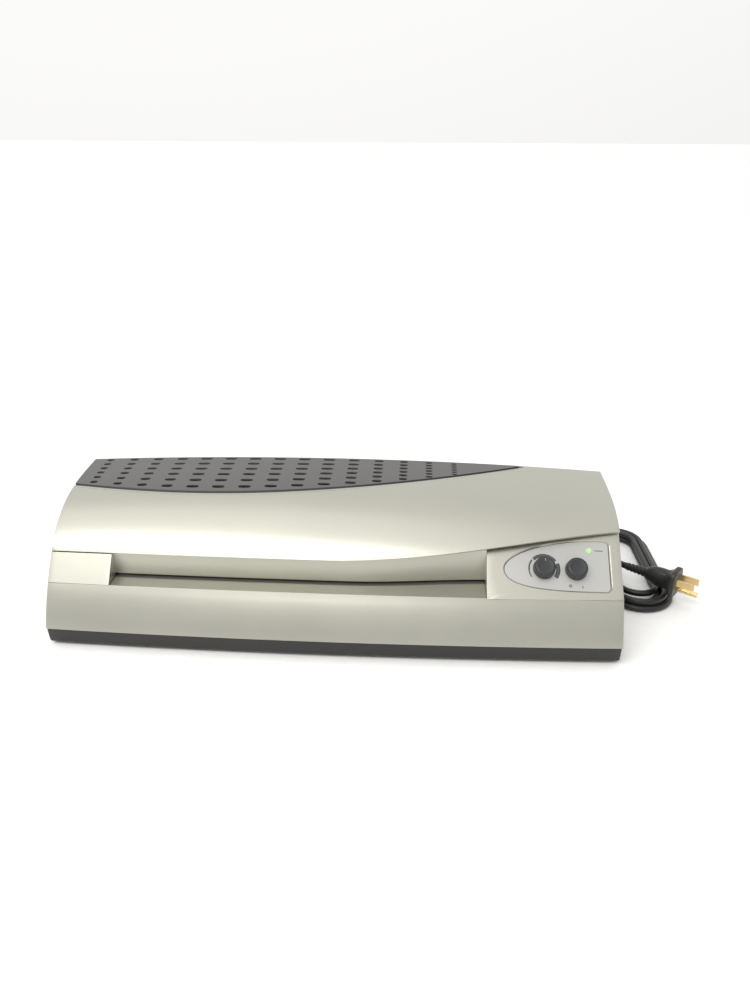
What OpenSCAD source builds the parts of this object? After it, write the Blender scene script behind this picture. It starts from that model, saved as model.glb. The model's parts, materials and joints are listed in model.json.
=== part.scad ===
// Pouch laminator: a desktop machine that feeds a pouch between heated plates and rubber rollers.
// Frame: +X along the casing to the right, +Y to the back, +Z up, origin on the table under its middle.

/* [Casing] */
// Length of the casing, end to end
body_w = 490; // [486:1:496]
// Forward bow of the front face at the middle of its length
bow = 5.4; // [0:0.1:6]
// Rise of the top at the middle of its length
crown = 7; // [0:0.5:8]
// Wall of the moulded covers
wall = 2.5; // [2:0.1:2.8]
// Gap between neighbouring mouldings
seam_gap = 1.2; // [0.6:0.1:1.6]

/* [Vent grille] */
// Number of hole columns
vent_columns = 15; // [10:1:15]
// Number of holes in each column
vent_rows = 6; // [4:1:6]
// Spacing of the hole columns
vent_pitch = 23.8; // [22:0.1:24]
// Radius of the grille's curved front edge, seen from above
vent_arc_r = 600; // [590:1:620]

/* [Rollers and gears] */
// Diameter of the rubber rollers
roller_d = 22; // [20:0.5:22]
// Length of the rubber on each roller
roller_len = 326; // [320:1:328]
// Clearance between an upper and a lower roller
nip_gap = 0.4; // [0.4:0.1:0.6]
// Teeth on each roller gear
roller_teeth = 20; // [20:20:20]
// Teeth on the idler between the roller pairs
idler_teeth = 40; // [40:40:40]
// Teeth on the motor pinion
pinion_teeth = 12; // [12:12:12]
// Radial clearance of a shaft in its bush
running_clearance = 0.05; // [0.02:0.01:0.08]

/* [Controls] */
// Diameter of both knobs
knob_d = 18.6; // [17:0.1:19]
// Height of a knob above the control plate
knob_h = 8.5; // [7:0.5:10]

/* [Power cord] */
// Diameter of the cord
cord_d = 6; // [6:1:6]
// Number of sides on the cord's tube
cord_sides = 8; // [8:1:12]

/* [Hidden] */
$fn = 48;

// Casing
half_w = body_w / 2;
foot_h = 3;
base_top = 17.5;
lip_z = 52.4;
front_y = -84;
lip_y = -65.6;
rear_y = 89.4;
exit_z = 60;
zone_back_y = -10;
recess_x0 = -191;
recess_x1 = 131;
slot_bottom = 52.2;
slot_top = 57;

// Control panel plane: its middle, its slope and its turn to follow the bow
panel_at = [188, -45.5, 72.5];
panel_slope = 41.8;
panel_turn = 1.5;
panel_wall = 3.4;
plate_recess = 1;
plate_t = 1;
selector_at = [-8.5, -2.6];
power_at = [18.5, -2.6];
lens_at = [30.4, 15.3];
spindle_r = 3;

// Grille
arc_x = -108;
vent_first_y = 66;
vent_proud = 0.8;
vent_t = 2.5;

// Mechanism
frame_t = 2;
left_x = -202;
right_x = 140;
front_roller_y = -18;
lower_roller_z = 43;
tooth_module = (roller_d + nip_gap) / roller_teeth;
upper_roller_z = lower_roller_z + roller_d + nip_gap;
idler_r = tooth_module * idler_teeth / 2;
idler_y = front_roller_y + roller_d / 2 + nip_gap / 2 + idler_r;
rear_roller_y = 2 * idler_y - front_roller_y;
pinion_arm = tooth_module * (idler_teeth + pinion_teeth) / 2;
pinion_y = idler_y + pinion_arm * cos(-45);
pinion_z = lower_roller_z + pinion_arm * sin(-45);
sleeve_x0 = -193;
journal_r = 4;
core_r = 6;
gear_x = 145;
gear_w = 7;
motor_x = 157;

// Power cord: route points from the strain relief to the hank, then from the hank to the plug
cord_exit = [195, 119, 22];
cord_route = [
    [195, 119, 22], [195, 127, 21], [197, 138, 18], [202, 149, 13], [211, 157, 8], [222, 160, 4.5],
    [233, 157.5, 3.2], [241.5, 150, 3], [246.5, 139, 3], [249, 126.5, 3], [252, 97, 3]
];
lead_route = [
    [258, 112, 12.4], [256.8, 98, 15.2], [258.5, 84, 17.6], [262, 72, 19.8], [265.5, 61, 21.5],
    [269.8, 52.5, 23], [275, 46, 24]
];
hank_x = 285;
hank_front_y = 31.5;
hank_rear_y = 126.5;
hank_r = 33.1;
hank_h = 12.2;
plug_at = [316, 16, 24];
plug_turn = -36;
plug_len = 30;
plug_relief_len = 21;

black = "#3a3b3c";
silver = "#bdbbae";
steel = "#a9acb0";
rubber = "#8d3b2e";

// Geometry helpers

function clamp01(v) = max(0, min(1, v));

function smooth(v) = let (s = clamp01(v)) s * s * (3 - 2 * s);

function mix(a, b, t) = a + (b - a) * t;

function bulge(x) = 1 - pow(x / half_w, 2);

// A point of a cross-section (y, z), moved forward by the bow and up by the crown at station x
function bowed_point(x, p) = [
    x,
    p.x - bow * bulge(x) * clamp01((16 - p.x) / 100),
    p.y + crown * bulge(x) * clamp01((p.y - 50) / 55)
];

function bezier(a, b, c, d, n) = [
    for (i = [0:n]) let (t = i / n, s = 1 - t)
        s * s * s * a + 3 * s * s * t * b + 3 * s * t * t * c + t * t * t * d
];

// Seam under the upper cover: level at the left, sweeping up to the right, falling to the back
function seam_front(x) = 74.4 + 1.1 * bulge(x) + 21.7 * smooth((x + 6) / 279);

function seam_z(x, y) = mix(seam_front(x), exit_z, smooth((y + 15) / 95));

// Front edge of the grille, an arc seen from above
function arc_y(x) = vent_arc_r - sqrt(vent_arc_r * vent_arc_r - pow(x - arc_x, 2));

// Where the wall above the feed slot stands
function slot_wall_y(x) = -47.5 + 8.7 * smooth((x - 15) / 125);

front_lower = bezier([front_y, base_top], [-80.5, 28], [-73, 42.2], [lip_y, lip_z], 8);
front_upper = bezier([-48.5, 74.4], [-37.5, 89.5], [-13, 105], [16, 108], 10);
top_run = bezier([16, 108], [34, 110.2], [52, 110.6], [70.3, 111.2], 5);
rear_run = [[73.4, 110.3], [75.4, 107.8], [84.5, 62], [rear_y, base_top]];
skin = concat(front_lower, front_upper, [for (i = [1:5]) top_run[i]], rear_run);

// An open run of points moved inward by d; the run has its inside on the right-hand side
function inset(run, d) = [
    for (i = [0:len(run) - 1])
        let (a = run[max(0, i - 1)], b = run[min(len(run) - 1, i + 1)], t = (b - a) / norm(b - a))
            run[i] + d * [t.y, -t.x]
];

// A closed solid through rings of points; seen from the last ring, each ring runs anticlockwise
module loft(rings) {
    count = len(rings[0]);
    last = len(rings) - 1;
    sides = [
        for (i = [0:last - 1]) for (j = [0:count - 1]) let (k = (j + 1) % count)
            each [
                [i * count + j, (i + 1) * count + k, i * count + k],
                [i * count + j, (i + 1) * count + j, (i + 1) * count + k]
            ]
    ];
    caps = [
        [for (j = [0:count - 1]) j],
        [for (j = [count - 1:-1:0]) last * count + j]
    ];
    polyhedron([for (r = rings) each r], concat(sides, caps), convexity = 8);
}

// A cross-section swept along X with the casing's bow and crown
module bowed(outline, x0, x1, steps = 12) {
    loft([
        for (i = [0:steps]) let (x = mix(x0, x1, i / steps))
            [for (p = outline) bowed_point(x, p)]
    ]);
}

// A round tube along a route of points
module tube(route, r, sides) {
    last = len(route) - 1;
    loft([
        for (i = [0:last])
            let (
                t = route[min(last, i + 1)] - route[max(0, i - 1)],
                u = cross(t, [0, 0, 1]) / norm(cross(t, [0, 0, 1])),
                v = cross(t, u) / norm(t)
            )
                [for (k = [0:sides - 1]) route[i] + r * (u * cos(360 * k / sides) + v * sin(360 * k / sides))]
    ]);
}

// A smooth run through the points of a route, several steps between each two
function smooth_route(p, n) = [
    for (i = [0:len(p) - 2]) let (
        a = p[max(0, i - 1)], b = p[i], c = p[i + 1], d = p[min(len(p) - 1, i + 2)]
    )
        for (k = [0:n - (i == len(p) - 2 ? 0 : 1)]) let (t = k / n)
            b + (c - a) * t / 2 + (2 * a - 5 * b + 4 * c - d) * t * t / 2
                + (3 * b - a - 3 * c + d) * t * t * t / 2
];

// Joins its children into one solid before anything else is cut from them
module welded() {
    resize([0, 0, 0]) children();
}

// Everything under the seam, lowered by a gap
module under_seam(gap) {
    xs = [-250, for (i = [-8:9]) 27 * i, 250];
    ys = [-100, for (i = [-1:8]) 12 * i, 100];
    last = len(ys) - 1;
    loft([
        for (x = xs) concat(
            [for (i = [last:-1:0]) [x, ys[i], seam_z(x, ys[i]) - gap]],
            [[x, -100, -10], [x, 100, -10]]
        )
    ]);
}

module casing_solid() {
    bowed([for (i = [len(skin) - 1:-1:0]) skin[i]], -half_w, half_w, 14);
}

module casing_hollow() {
    inner = inset(skin, wall);
    run = concat([[front_y + wall, base_top - 1]], inner, [[rear_y - wall, base_top - 1]]);
    bowed([for (i = [len(run) - 1:-1:0]) run[i]], -half_w + wall, half_w - wall, 14);
}

// Seen from above, the area behind the grille's curved front edge
module grille_area(margin) {
    linear_extrude(height = 60)
        intersection() {
            translate([arc_x, vent_arc_r])
                circle(r = vent_arc_r - margin, $fn = 120);
            translate([-half_w - 5 + margin, -5])
                square([body_w + 10, 75.6 - margin]);
        }
}

// A thin band that follows the top of the casing
module top_band(below, above) {
    run = concat([for (i = [6:10]) front_upper[i]], [for (i = [1:5]) top_run[i]], [[75, 111.2]]);
    low = [for (p = run) [p.x, p.y - below]];
    high = [for (i = [len(run) - 1:-1:0]) [run[i].x, run[i].y + above]];
    bowed(concat(low, high), -half_w, half_w, 14);
}

// One oval hole seen from above
module oval(length, width) {
    hull() {
        for (side = [-1, 1])
            translate([side * (length - width) / 2, 0])
                circle(d = width, $fn = 8);
    }
}

module vent_holes() {
    for (i = [0:vent_columns - 1]) {
        x = -228 + vent_pitch * i;
        last_y = arc_y(x) + 0.13 * (70 - arc_y(x));
        length = 11.5 - 1.1 * max(0, 4 - i) - 1.25 * max(0, i - 9);
        for (j = [0:vent_rows - 1])
            translate([x, mix(vent_first_y, last_y, j / (vent_rows - 1)), 90])
                linear_extrude(height = 60)
                    oval(length, 4.4);
    }
}

// Places its children in the control panel's own frame: X right, Y up the slope, Z outward
module on_panel() {
    translate(panel_at)
        rotate([panel_slope, 0, 0])
            rotate([0, panel_turn, 0])
                children();
}

module on_left_end() {
    rotate([90, 0, 90]) children();
}

// A round bar along X
module bar(x0, x1, y, z, r) {
    translate([x0, y, z])
        rotate([0, 90, 0])
            cylinder(r = r, h = x1 - x0);
}

// A pan-head screw with a cross recess, head up
module screw(shank_r, shank_len, head_r, head_h) {
    difference() {
        union() {
            translate([0, 0, -shank_len])
                cylinder(r = shank_r, h = shank_len, $fn = 24);
            cylinder(r = head_r, h = head_h, $fn = 24);
        }
        for (turn = [0, 90])
            rotate([0, 0, turn])
                translate([-head_r * 0.6, -0.4, head_h - 0.8])
                    cube([head_r * 1.2, 0.8, 2]);
    }
}

// Casing

post_places = [[-228, -28], [-228, 62], [232, 14], [232, 62]];
post_joint_z = 58;

module base_tray() {
    color(black)
    welded()
        difference() {
            union() {
                difference() {
                    bowed(
                        [[84.6, foot_h], [rear_y - 0.4, base_top], [front_y + 0.4, base_top], [-81.8, 4.4],
                            [-80.4, foot_h]],
                        -half_w + 0.8, half_w - 0.8
                    );
                    bowed(
                        [[82, 5.5], [86.4, base_top + 1], [-81, base_top + 1], [-77.5, 5.5]],
                        -half_w + 0.8 + wall, half_w - 0.8 - wall
                    );
                }
                for (p = post_places)
                    translate([p.x, p.y, 5])
                        cylinder(r = 4.5, h = post_joint_z - 5, $fn = 24);
                for (x = [left_x - 8, right_x + 10])
                    for (y = [-36, 62])
                        translate([x, y, 5])
                            cylinder(r = 4, h = 3, $fn = 24);
                for (x = [168, 232])
                    for (y = [-58, -8])
                        translate([x, y, 5])
                            cylinder(r = 3, h = 7, $fn = 16);
            }
            for (p = post_places)
                translate([p.x, p.y, 0]) {
                    cylinder(r = 3.4, h = 12, $fn = 24);
                    cylinder(r = 1.7, h = 80, $fn = 16);
                }
            for (x = [-225, 225])
                for (y = [-72, 72])
                    translate([x, y, 0])
                        cylinder(r = 6.2, h = 4.6, $fn = 24);
            translate([cord_exit.x, 100, cord_exit.z])
                rotate([90, 0, 0])
                    cylinder(r = 8.4, h = 20, $fn = 24);
        }
}

module lower_cover() {
    color(silver)
    welded()
        difference() {
            intersection() {
                casing_solid();
                under_seam(seam_gap);
            }
            casing_hollow();
            translate([-250, -120, lip_z])
                cube([500, 120 + zone_back_y, 60]);
            translate([recess_x0 - 3, 70, 49])
                cube([recess_x1 - recess_x0 + 6, 30, 30]);
            translate([cord_exit.x, 100, cord_exit.z])
                rotate([90, 0, 0])
                    cylinder(r = 6, h = 40, $fn = 24);
            translate([-250, -100, 0])
                cube([500, 200, base_top + 0.1]);
        }
}

// The leaf-shaped outline of the control plate in the panel's frame
function leaf(grow) = concat(
    bezier([-42 - grow, -4], [-42 - grow, 9 + grow], [-5, 23.8 + grow], [40, 23.8 + grow], 10),
    [for (a = [75:-15:0]) [43 + (4 + grow) * cos(a), 19.6 + (4 + grow) * sin(a)]],
    [for (a = [0:-15:-90]) [43 + (4 + grow) * cos(a), -17.4 + (4 + grow) * sin(a)]],
    bezier([42, -21.4 - grow], [2, -21.8 - grow], [-42 - grow, -22 - grow], [-42 - grow, -4.2], 10)
);

// Shelf in front of the feed slot, with a web at each end that joins it to the blocks
module feed_shelf() {
    low = slot_bottom - 2.4;
    bowed([[-61.3, low], [-36, low], [-36, slot_bottom - 0.4], [-38, slot_bottom], [-61.3, slot_bottom]],
        recess_x0 - wall, recess_x1 + wall, 8);
    for (x = [recess_x0 - wall, recess_x1])
        bowed([[-61.3, low], [-36, low], [-36, lip_z + 3], [-61.3, lip_z + 3]], x, x + wall, 1);
}

module feed_fascia() {
    color(silver)
    welded()
        union() {
            feed_shelf();
            fascia_faces();
        }
}

// The left block, the right block and the wall above the slot, trimmed under the seam
module fascia_faces() {
    difference() {
        intersection() {
            union() {
                left_block();
                right_block();
                slot_wall();
            }
            under_seam(seam_gap);
            translate([-250, -100, lip_z + 0.1])
                cube([500, 100 + zone_back_y - 0.3, 80]);
        }
        translate([recess_x1 - 5, -37.5, lip_z - 5])
            cube([right_x - recess_x1 + 4.5, 60, 60]);
        on_panel() {
            translate([0, 0, -plate_recess - plate_t])
                linear_extrude(height = 10)
                    polygon(leaf(0.2));
            for (p = [selector_at, power_at])
                translate([p.x, p.y, -10])
                    cylinder(r = 4.2, h = 20, $fn = 24);
            translate([lens_at.x, lens_at.y, -10])
                cylinder(r = 2.2, h = 20, $fn = 16);
        }
    }
}

// The casing's own wall left of the recess, closed by a flank
module left_block() {
    difference() {
        casing_solid();
        casing_hollow();
        translate([recess_x0 - wall, -120, 0])
            cube([600, 240, 140]);
    }
    bowed([[-40, lip_z], [-40, 90], [-48.5, 74.4], [lip_y, lip_z]], recess_x0 - wall, recess_x0, 1);
}

// A hollow wedge under the flat control panel
module right_block() {
    difference() {
        intersection() {
            bowed([[zone_back_y, 50], [zone_back_y, 120], [-90, 120], [-90, 50]], recess_x1, half_w, 4);
            on_panel()
                translate([-120, -80, -100])
                    cube([240, 160, 100]);
        }
        intersection() {
            translate([recess_x1 + wall, -100, 0])
                cube([half_w - recess_x1 - 2 * wall, 200, 140]);
            on_panel()
                translate([-120, -80, -100])
                    cube([240, 160, 100 - panel_wall]);
        }
    }
}

// The wall above the feed slot
module slot_wall() {
    x0 = recess_x0 - wall;
    x1 = recess_x1 + wall;
    loft([
        for (i = [0:10])
            let (x = mix(x0, x1, i / 10), y = slot_wall_y(x))
                [for (p = [[y, slot_top], [y + 2.2, slot_top], [y + 2.2, 100], [y, 100]])
                    [x, bowed_point(x, p).y, p.y]]
    ]);
}

module upper_cover() {
    color(silver)
    welded()
        difference() {
            union() {
                difference() {
                    casing_solid();
                    casing_hollow();
                    under_seam(0);
                }
                intersection() {
                    casing_solid();
                    for (p = post_places)
                        translate([p.x, p.y, post_joint_z + 0.2])
                            cylinder(r = 4.5, h = 80, $fn = 24);
                }
            }
            intersection() {
                top_band(vent_t - vent_proud + 0.1, 10);
                translate([0, 0, 80])
                    grille_area(-0.3);
            }
            translate([0, 0, 80])
                intersection() {
                    grille_area(6);
                    translate([-half_w + 8, -20, 0])
                        cube([body_w - 16, 84, 60]);
                }
            for (p = post_places)
                translate([p.x, p.y, post_joint_z])
                    cylinder(r = 1.4, h = 12, $fn = 12);
        }
}

module vent_grille() {
    color("#5d5b59")
    welded()
        difference() {
            intersection() {
                top_band(vent_t - vent_proud, vent_proud);
                translate([0, 0, 80])
                    grille_area(0);
            }
            vent_holes();
        }
}

module control_plate() {
    color("#c3c6c8")
    on_panel()
        difference() {
            translate([0, 0, -plate_recess - plate_t])
                linear_extrude(height = plate_t)
                    polygon(leaf(0));
            for (p = [selector_at, power_at])
                translate([p.x, p.y, -5])
                    cylinder(r = 4.2, h = 10);
            translate([lens_at.x, lens_at.y, -5])
                cylinder(r = 2.2, h = 10);
        }
}

module ready_lens() {
    color("#63d84a")
    on_panel()
        translate([lens_at.x, lens_at.y, -panel_wall - 2])
            union() {
                cylinder(r = 2.1, h = panel_wall + 2 - plate_recess);
                cylinder(r = 3, h = 1.8);
                translate([0, 0, panel_wall + 2 - plate_recess])
                    scale([1, 1, 0.4])
                        sphere(r = 2.1);
            }
}

module rubber_feet() {
    color("#2b2b2b")
    for (x = [-225, 225])
        for (y = [-72, 72])
            translate([x, y, 0])
                rotate_extrude()
                    polygon([[0, 0], [5, 0], [5.8, 0.8], [6, 4.5], [0, 4.5]]);
}

module casing_screws() {
    color(steel)
    for (p = post_places)
        translate([p.x, p.y, 12])
            mirror([0, 0, 1])
                screw(1.4, post_joint_z - 12 + 8, 3, 2.2);
}

// Controls

module knob() {
    base_z = -plate_recess + 0.4;
    difference() {
        translate([0, 0, base_z])
            rotate_extrude()
                polygon([
                    [0, 0], [knob_d / 2, 0], [knob_d / 2, knob_h - 2], [knob_d / 2 - 0.7, knob_h - 0.7],
                    [knob_d / 2 - 2, knob_h], [0, knob_h]
                ]);
        translate([-0.5, 3.4, base_z + knob_h - 0.5])
            cube([1, 4.6, 2]);
    }
    translate([0, 0, -panel_wall - 12])
        cylinder(r = spindle_r, h = panel_wall + 13);
}

module selector_knob() {
    color(black)
    on_panel()
        translate([selector_at.x, selector_at.y, 0])
            knob();
}

module power_knob() {
    color(black)
    on_panel()
        translate([power_at.x, power_at.y, 0])
            rotate([0, 0, -160])
                knob();
}

// A rotary switch body behind the panel, with a bush round the spindle and solder tags below
module rotary_switch(size, depth) {
    difference() {
        union() {
            translate([0, 0, -panel_wall - depth])
                linear_extrude(height = depth - 0.1)
                    square([size, size], center = true);
            translate([0, 0, -panel_wall - 0.2])
                cylinder(r = 4, h = 1.8);
        }
        translate([0, 0, -panel_wall - 12.5])
            cylinder(r = spindle_r + running_clearance, h = 20);
    }
    for (x = [-6, 0, 6])
        for (y = [-6, 6])
            translate([x - 0.6, y - 0.3, -panel_wall - depth - 4])
                cube([1.2, 0.6, 4.5]);
}

module selector_switch() {
    color("#2d4f7c")
    on_panel()
        translate([selector_at.x, selector_at.y, 0])
            rotary_switch(22, 15);
}

module power_switch() {
    color("#d9d4c6")
    on_panel()
        translate([power_at.x, power_at.y, 0])
            rotary_switch(22, 17);
}

board_z = 12.1;

module control_board() {
    color("#3c6e46")
    difference() {
        translate([160, -63, board_z])
            cube([78, 60, 1.6]);
        for (x = [168, 232])
            for (y = [-58, -8])
                translate([x, y, board_z - 1])
                    cylinder(r = 1.6, h = 4);
    }
}

module board_components() {
    top = board_z + 1.6;
    color("#e4dcc0") {
        translate([172, -50, top])
            cube([19, 15.5, 15]);
        translate([198, -30, top])
            cube([26, 22, 18]);
    }
    color("#4a4a50") {
        for (p = [[204, -50], [218, -50]])
            translate([p.x, p.y, top])
                cylinder(r = 5, h = 12);
        translate([178, -24, top])
            cube([10, 8, 3]);
    }
}

module terminal_block() {
    color("#e9e6da")
    difference() {
        translate([196, 56, 5.5])
            cube([30, 16, 13]);
        for (i = [0:2])
            translate([201 + 10 * i, 64, 8])
                cylinder(r = 2.4, h = 20, $fn = 24);
    }
}

wire_r = 1.2;
live_route = [[206, 55, 14], [206, 40, 16], [212, 20, 22], [216, 2, 33], [214, -12, 38], [210, -20, 42]];
neutral_route = [[216, 55, 14], [218, 40, 18], [224, 22, 28], [222, 8, 42], [212, -8, 50], [206, -18, 54]];
earth_route = [[196, 64, 12], [186, 66, 14], [170, 72, 20], [158, 77, 26], [149, 77, 30], [143, 76, 32]];

module internal_wiring() {
    color("#7a4632")
    tube(smooth_route(live_route, 3), wire_r, 6);
    color("#34679c")
    tube(smooth_route(neutral_route, 3), wire_r, 6);
    color("#c8b432")
    tube(smooth_route(earth_route, 3), wire_r, 6);
}

// Frame of the mechanism

frame_outline = [[-44, 8], [74, 8], [74, 62], [68, 84], [-20, 84], [-32, 78], [-44, 64]];
bush_r = 6;
slide_w = 12;

module frame_plate(x, foot_side) {
    difference() {
        union() {
            translate([x, 0, 0])
                on_left_end()
                    linear_extrude(height = frame_t)
                        polygon(frame_outline);
            translate([foot_side < 0 ? x - 12 : x, -44, 8])
                cube([12 + frame_t, 118, frame_t]);
        }
        for (y = [front_roller_y, rear_roller_y]) {
            bar(x - 5, x + 8, y, lower_roller_z, bush_r);
            translate([x - 5, y - slide_w / 2, upper_roller_z - 7.6])
                cube([13, slide_w, 20.6]);
        }
        for (y = [-36, 62])
            translate([foot_side < 0 ? x - 8 : x + 10, y, 0])
                cylinder(r = 1.8, h = 20);
    }
}

module left_frame() {
    color(steel) frame_plate(left_x, -1);
}

module right_frame() {
    color(steel) frame_plate(right_x, 1);
}

module crossbar(y) {
    translate([left_x + frame_t, y, 12])
        difference() {
            cube([right_x - left_x - frame_t, 8, 16]);
            translate([-1, 1.5, 1.5])
                cube([right_x - left_x + 2, 8, 13]);
        }
}

module front_crossbar() {
    color(steel) crossbar(-42);
}

module rear_crossbar() {
    color(steel) crossbar(64);
}

washer_t = 0.4;

module frame_screws() {
    color("#c9ccd0") {
        for (x = [left_x - 8, right_x + 10])
            for (y = [-36, 62])
                translate([x, y, 10])
                    screw(1.7, 1.9, 3.2, 2.2);
        for (y = [-38.5, 67.5]) {
            translate([left_x - washer_t, y, 21.5])
                rotate([0, -90, 0])
                    screw(1.5, washer_t, 3, 2);
            translate([right_x + frame_t + washer_t, y, 21.5])
                rotate([0, 90, 0])
                    screw(1.5, washer_t, 3, 2);
        }
    }
}

// A long plate between the frames with the cross-section (y, z)
module between_frames(outline, end_gap = 0) {
    translate([left_x + frame_t + end_gap, 0, 0])
        on_left_end()
            linear_extrude(height = right_x - left_x - frame_t - 2 * end_gap)
                polygon(outline);
}

module feed_guide_lower() {
    color(steel)
    between_frames([[-35.5, 46], [-34.5, 46], [-34.5, 50.9], [-30.4, 51.2], [-30.4, 52.2], [-35.5, 51.9]]);
}

module feed_guide_upper() {
    color(steel)
    between_frames([[-36, 58.6], [-29.6, 57], [-29.6, 58], [-35, 59.4], [-35, 66], [-36, 66]]);
}

module exit_guide_lower() {
    color(black)
    between_frames([[62, 51.2], [81.5, 49.4], [81.5, 51.4], [62, 53.2]], 0.2);
}

module exit_guide_upper() {
    color(black)
    between_frames([[62, 56], [81, 58.2], [81, 59.6], [64, 58], [64, 66], [62, 66]], 0.2);
}

// Heated plates

plate_y0 = -4;
plate_y1 = 35;

module heater_plate(face_z, up) {
    height = 6;
    fin_h = 5;
    z0 = up > 0 ? face_z : face_z - height;
    union() {
        between_frames([[plate_y0, z0], [plate_y1, z0], [plate_y1, z0 + height], [plate_y0, z0 + height]]);
        for (y = [plate_y0, plate_y0 + 4.5, plate_y1 - 6, plate_y1 - 1.5])
            translate([left_x + frame_t + 10, y, up > 0 ? z0 + height : z0 - fin_h])
                cube([right_x - left_x - frame_t - 20, 1.5, fin_h]);
    }
}

module upper_heater_plate() {
    color("#cfd2d5") heater_plate(56.6, 1);
}

module lower_heater_plate() {
    color("#cfd2d5") heater_plate(51.8, -1);
}

module heating_strip(z) {
    translate([left_x + 22, 6, z])
        cube([right_x - left_x - 42, 18, 1.6]);
}

module upper_heating_strip() {
    color("#b5622f") heating_strip(62.6);
}

module lower_heating_strip() {
    color("#b5622f") heating_strip(51.8 - 6 - 1.6);
}

module thermostat_switches() {
    for (x = [-110, -20, 70]) {
        color("#c9ccd0")
        translate([x, 15, 64.2])
            cylinder(r = 7.5, h = 3);
        color("#2c2c2e")
        translate([x, 15, 67.2])
            cylinder(r = 6.5, h = 6);
        color("#d8c070")
        for (side = [-1, 1])
            translate([x + side * 4 - 0.4, 12, 73.2])
                cube([0.8, 6, 6]);
    }
}

module thermal_fuse() {
    color("#b9bcc0")
    union() {
        bar(92, 104, 15, 66.2, 2);
        bar(86, 110, 15, 66.2, 0.5);
    }
}

// Rollers

sleeve_x1 = sleeve_x0 + roller_len;

module roller_shaft(y, z, gear_end) {
    bar(sleeve_x0 - 4, sleeve_x1 + 4, y, z, core_r);
    bar(left_x - 4, gear_end, y, z, journal_r);
}

module roller_sleeve(y, z) {
    difference() {
        bar(sleeve_x0, sleeve_x1, y, z, roller_d / 2);
        bar(sleeve_x0 - 1, sleeve_x1 + 1, y, z, core_r);
    }
}

// A spur gear outline: tooth flanks run straight from root to tip, one tooth centred at angle "first"
module gear_outline(teeth, first) {
    pitch_r = tooth_module * teeth / 2;
    step = 360 / teeth;
    root_r = pitch_r - 1.35 * tooth_module;
    tip_r = pitch_r + 0.95 * tooth_module;
    polygon([
        for (k = [0:teeth - 1]) let (a = first + k * step)
            each [
                root_r * [cos(a - 0.36 * step), sin(a - 0.36 * step)],
                pitch_r * [cos(a - 0.225 * step), sin(a - 0.225 * step)],
                tip_r * [cos(a - 0.1 * step), sin(a - 0.1 * step)],
                tip_r * [cos(a + 0.1 * step), sin(a + 0.1 * step)],
                pitch_r * [cos(a + 0.225 * step), sin(a + 0.225 * step)],
                root_r * [cos(a + 0.36 * step), sin(a + 0.36 * step)]
            ]
    ]);
}

module gear(y, z, teeth, first, bore_r) {
    translate([gear_x, y, z])
        on_left_end()
            difference() {
                union() {
                    linear_extrude(height = gear_w)
                        gear_outline(teeth, first);
                    translate([0, 0, -1])
                        cylinder(r = bore_r + 2, h = 1);
                }
                translate([0, 0, -3])
                    cylinder(r = bore_r, h = gear_w + 6);
            }
}

roller_gap = 180 / roller_teeth;

module front_lower_shaft() {
    color(steel) roller_shaft(front_roller_y, lower_roller_z, gear_x + gear_w + 1);
}

module front_lower_sleeve() {
    color(rubber) roller_sleeve(front_roller_y, lower_roller_z);
}

module front_lower_gear() {
    color("#e8e2cc") gear(front_roller_y, lower_roller_z, roller_teeth, 0, journal_r);
}

module front_upper_shaft() {
    color(steel) roller_shaft(front_roller_y, upper_roller_z, gear_x + gear_w + 1);
}

module front_upper_sleeve() {
    color(rubber) roller_sleeve(front_roller_y, upper_roller_z);
}

module front_upper_gear() {
    color("#e8e2cc") gear(front_roller_y, upper_roller_z, roller_teeth, 90 + roller_gap, journal_r);
}

module rear_lower_shaft() {
    color(steel) roller_shaft(rear_roller_y, lower_roller_z, gear_x + gear_w + 1);
}

module rear_lower_sleeve() {
    color(rubber) roller_sleeve(rear_roller_y, lower_roller_z);
}

module rear_lower_gear() {
    color("#e8e2cc") gear(rear_roller_y, lower_roller_z, roller_teeth, 0, journal_r);
}

module rear_upper_shaft() {
    color(steel) roller_shaft(rear_roller_y, upper_roller_z, gear_x + gear_w + 1);
}

module rear_upper_sleeve() {
    color(rubber) roller_sleeve(rear_roller_y, upper_roller_z);
}

module rear_upper_gear() {
    color("#e8e2cc") gear(rear_roller_y, upper_roller_z, roller_teeth, 90 + roller_gap, journal_r);
}

// A flanged bush in the frame; the flange is inside
module flanged_bush(x, inward, y) {
    flange_x = inward > 0 ? x + frame_t : x - 1.5;
    difference() {
        union() {
            bar(x, x + frame_t, y, lower_roller_z, bush_r);
            bar(flange_x, flange_x + 1.5, y, lower_roller_z, bush_r + 2);
        }
        bar(x - 5, x + 8, y, lower_roller_z, journal_r + running_clearance);
    }
}

module lower_bushes() {
    color("#b08d4a")
    for (y = [front_roller_y, rear_roller_y]) {
        flanged_bush(left_x, 1, y);
        flanged_bush(right_x, -1, y);
    }
}

// A bearing block that slides up and down in the frame's slot
module sliding_block(x, y) {
    difference() {
        translate([x, y, upper_roller_z]) {
            for (side = [-1.5 - 0.1, frame_t + 0.1])
                translate([side, -8, -7.5])
                    cube([1.5, 16, 15]);
            translate([-0.1, -slide_w / 2 + 0.1, -7.5])
                cube([frame_t + 0.2, slide_w - 0.2, 15]);
        }
        bar(x - 5, x + 8, y, upper_roller_z, journal_r + running_clearance);
    }
}

module front_upper_bushes() {
    color("#b08d4a") {
        sliding_block(left_x, front_roller_y);
        sliding_block(right_x, front_roller_y);
    }
}

module rear_upper_bushes() {
    color("#b08d4a") {
        sliding_block(left_x, rear_roller_y);
        sliding_block(right_x, rear_roller_y);
    }
}

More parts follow.
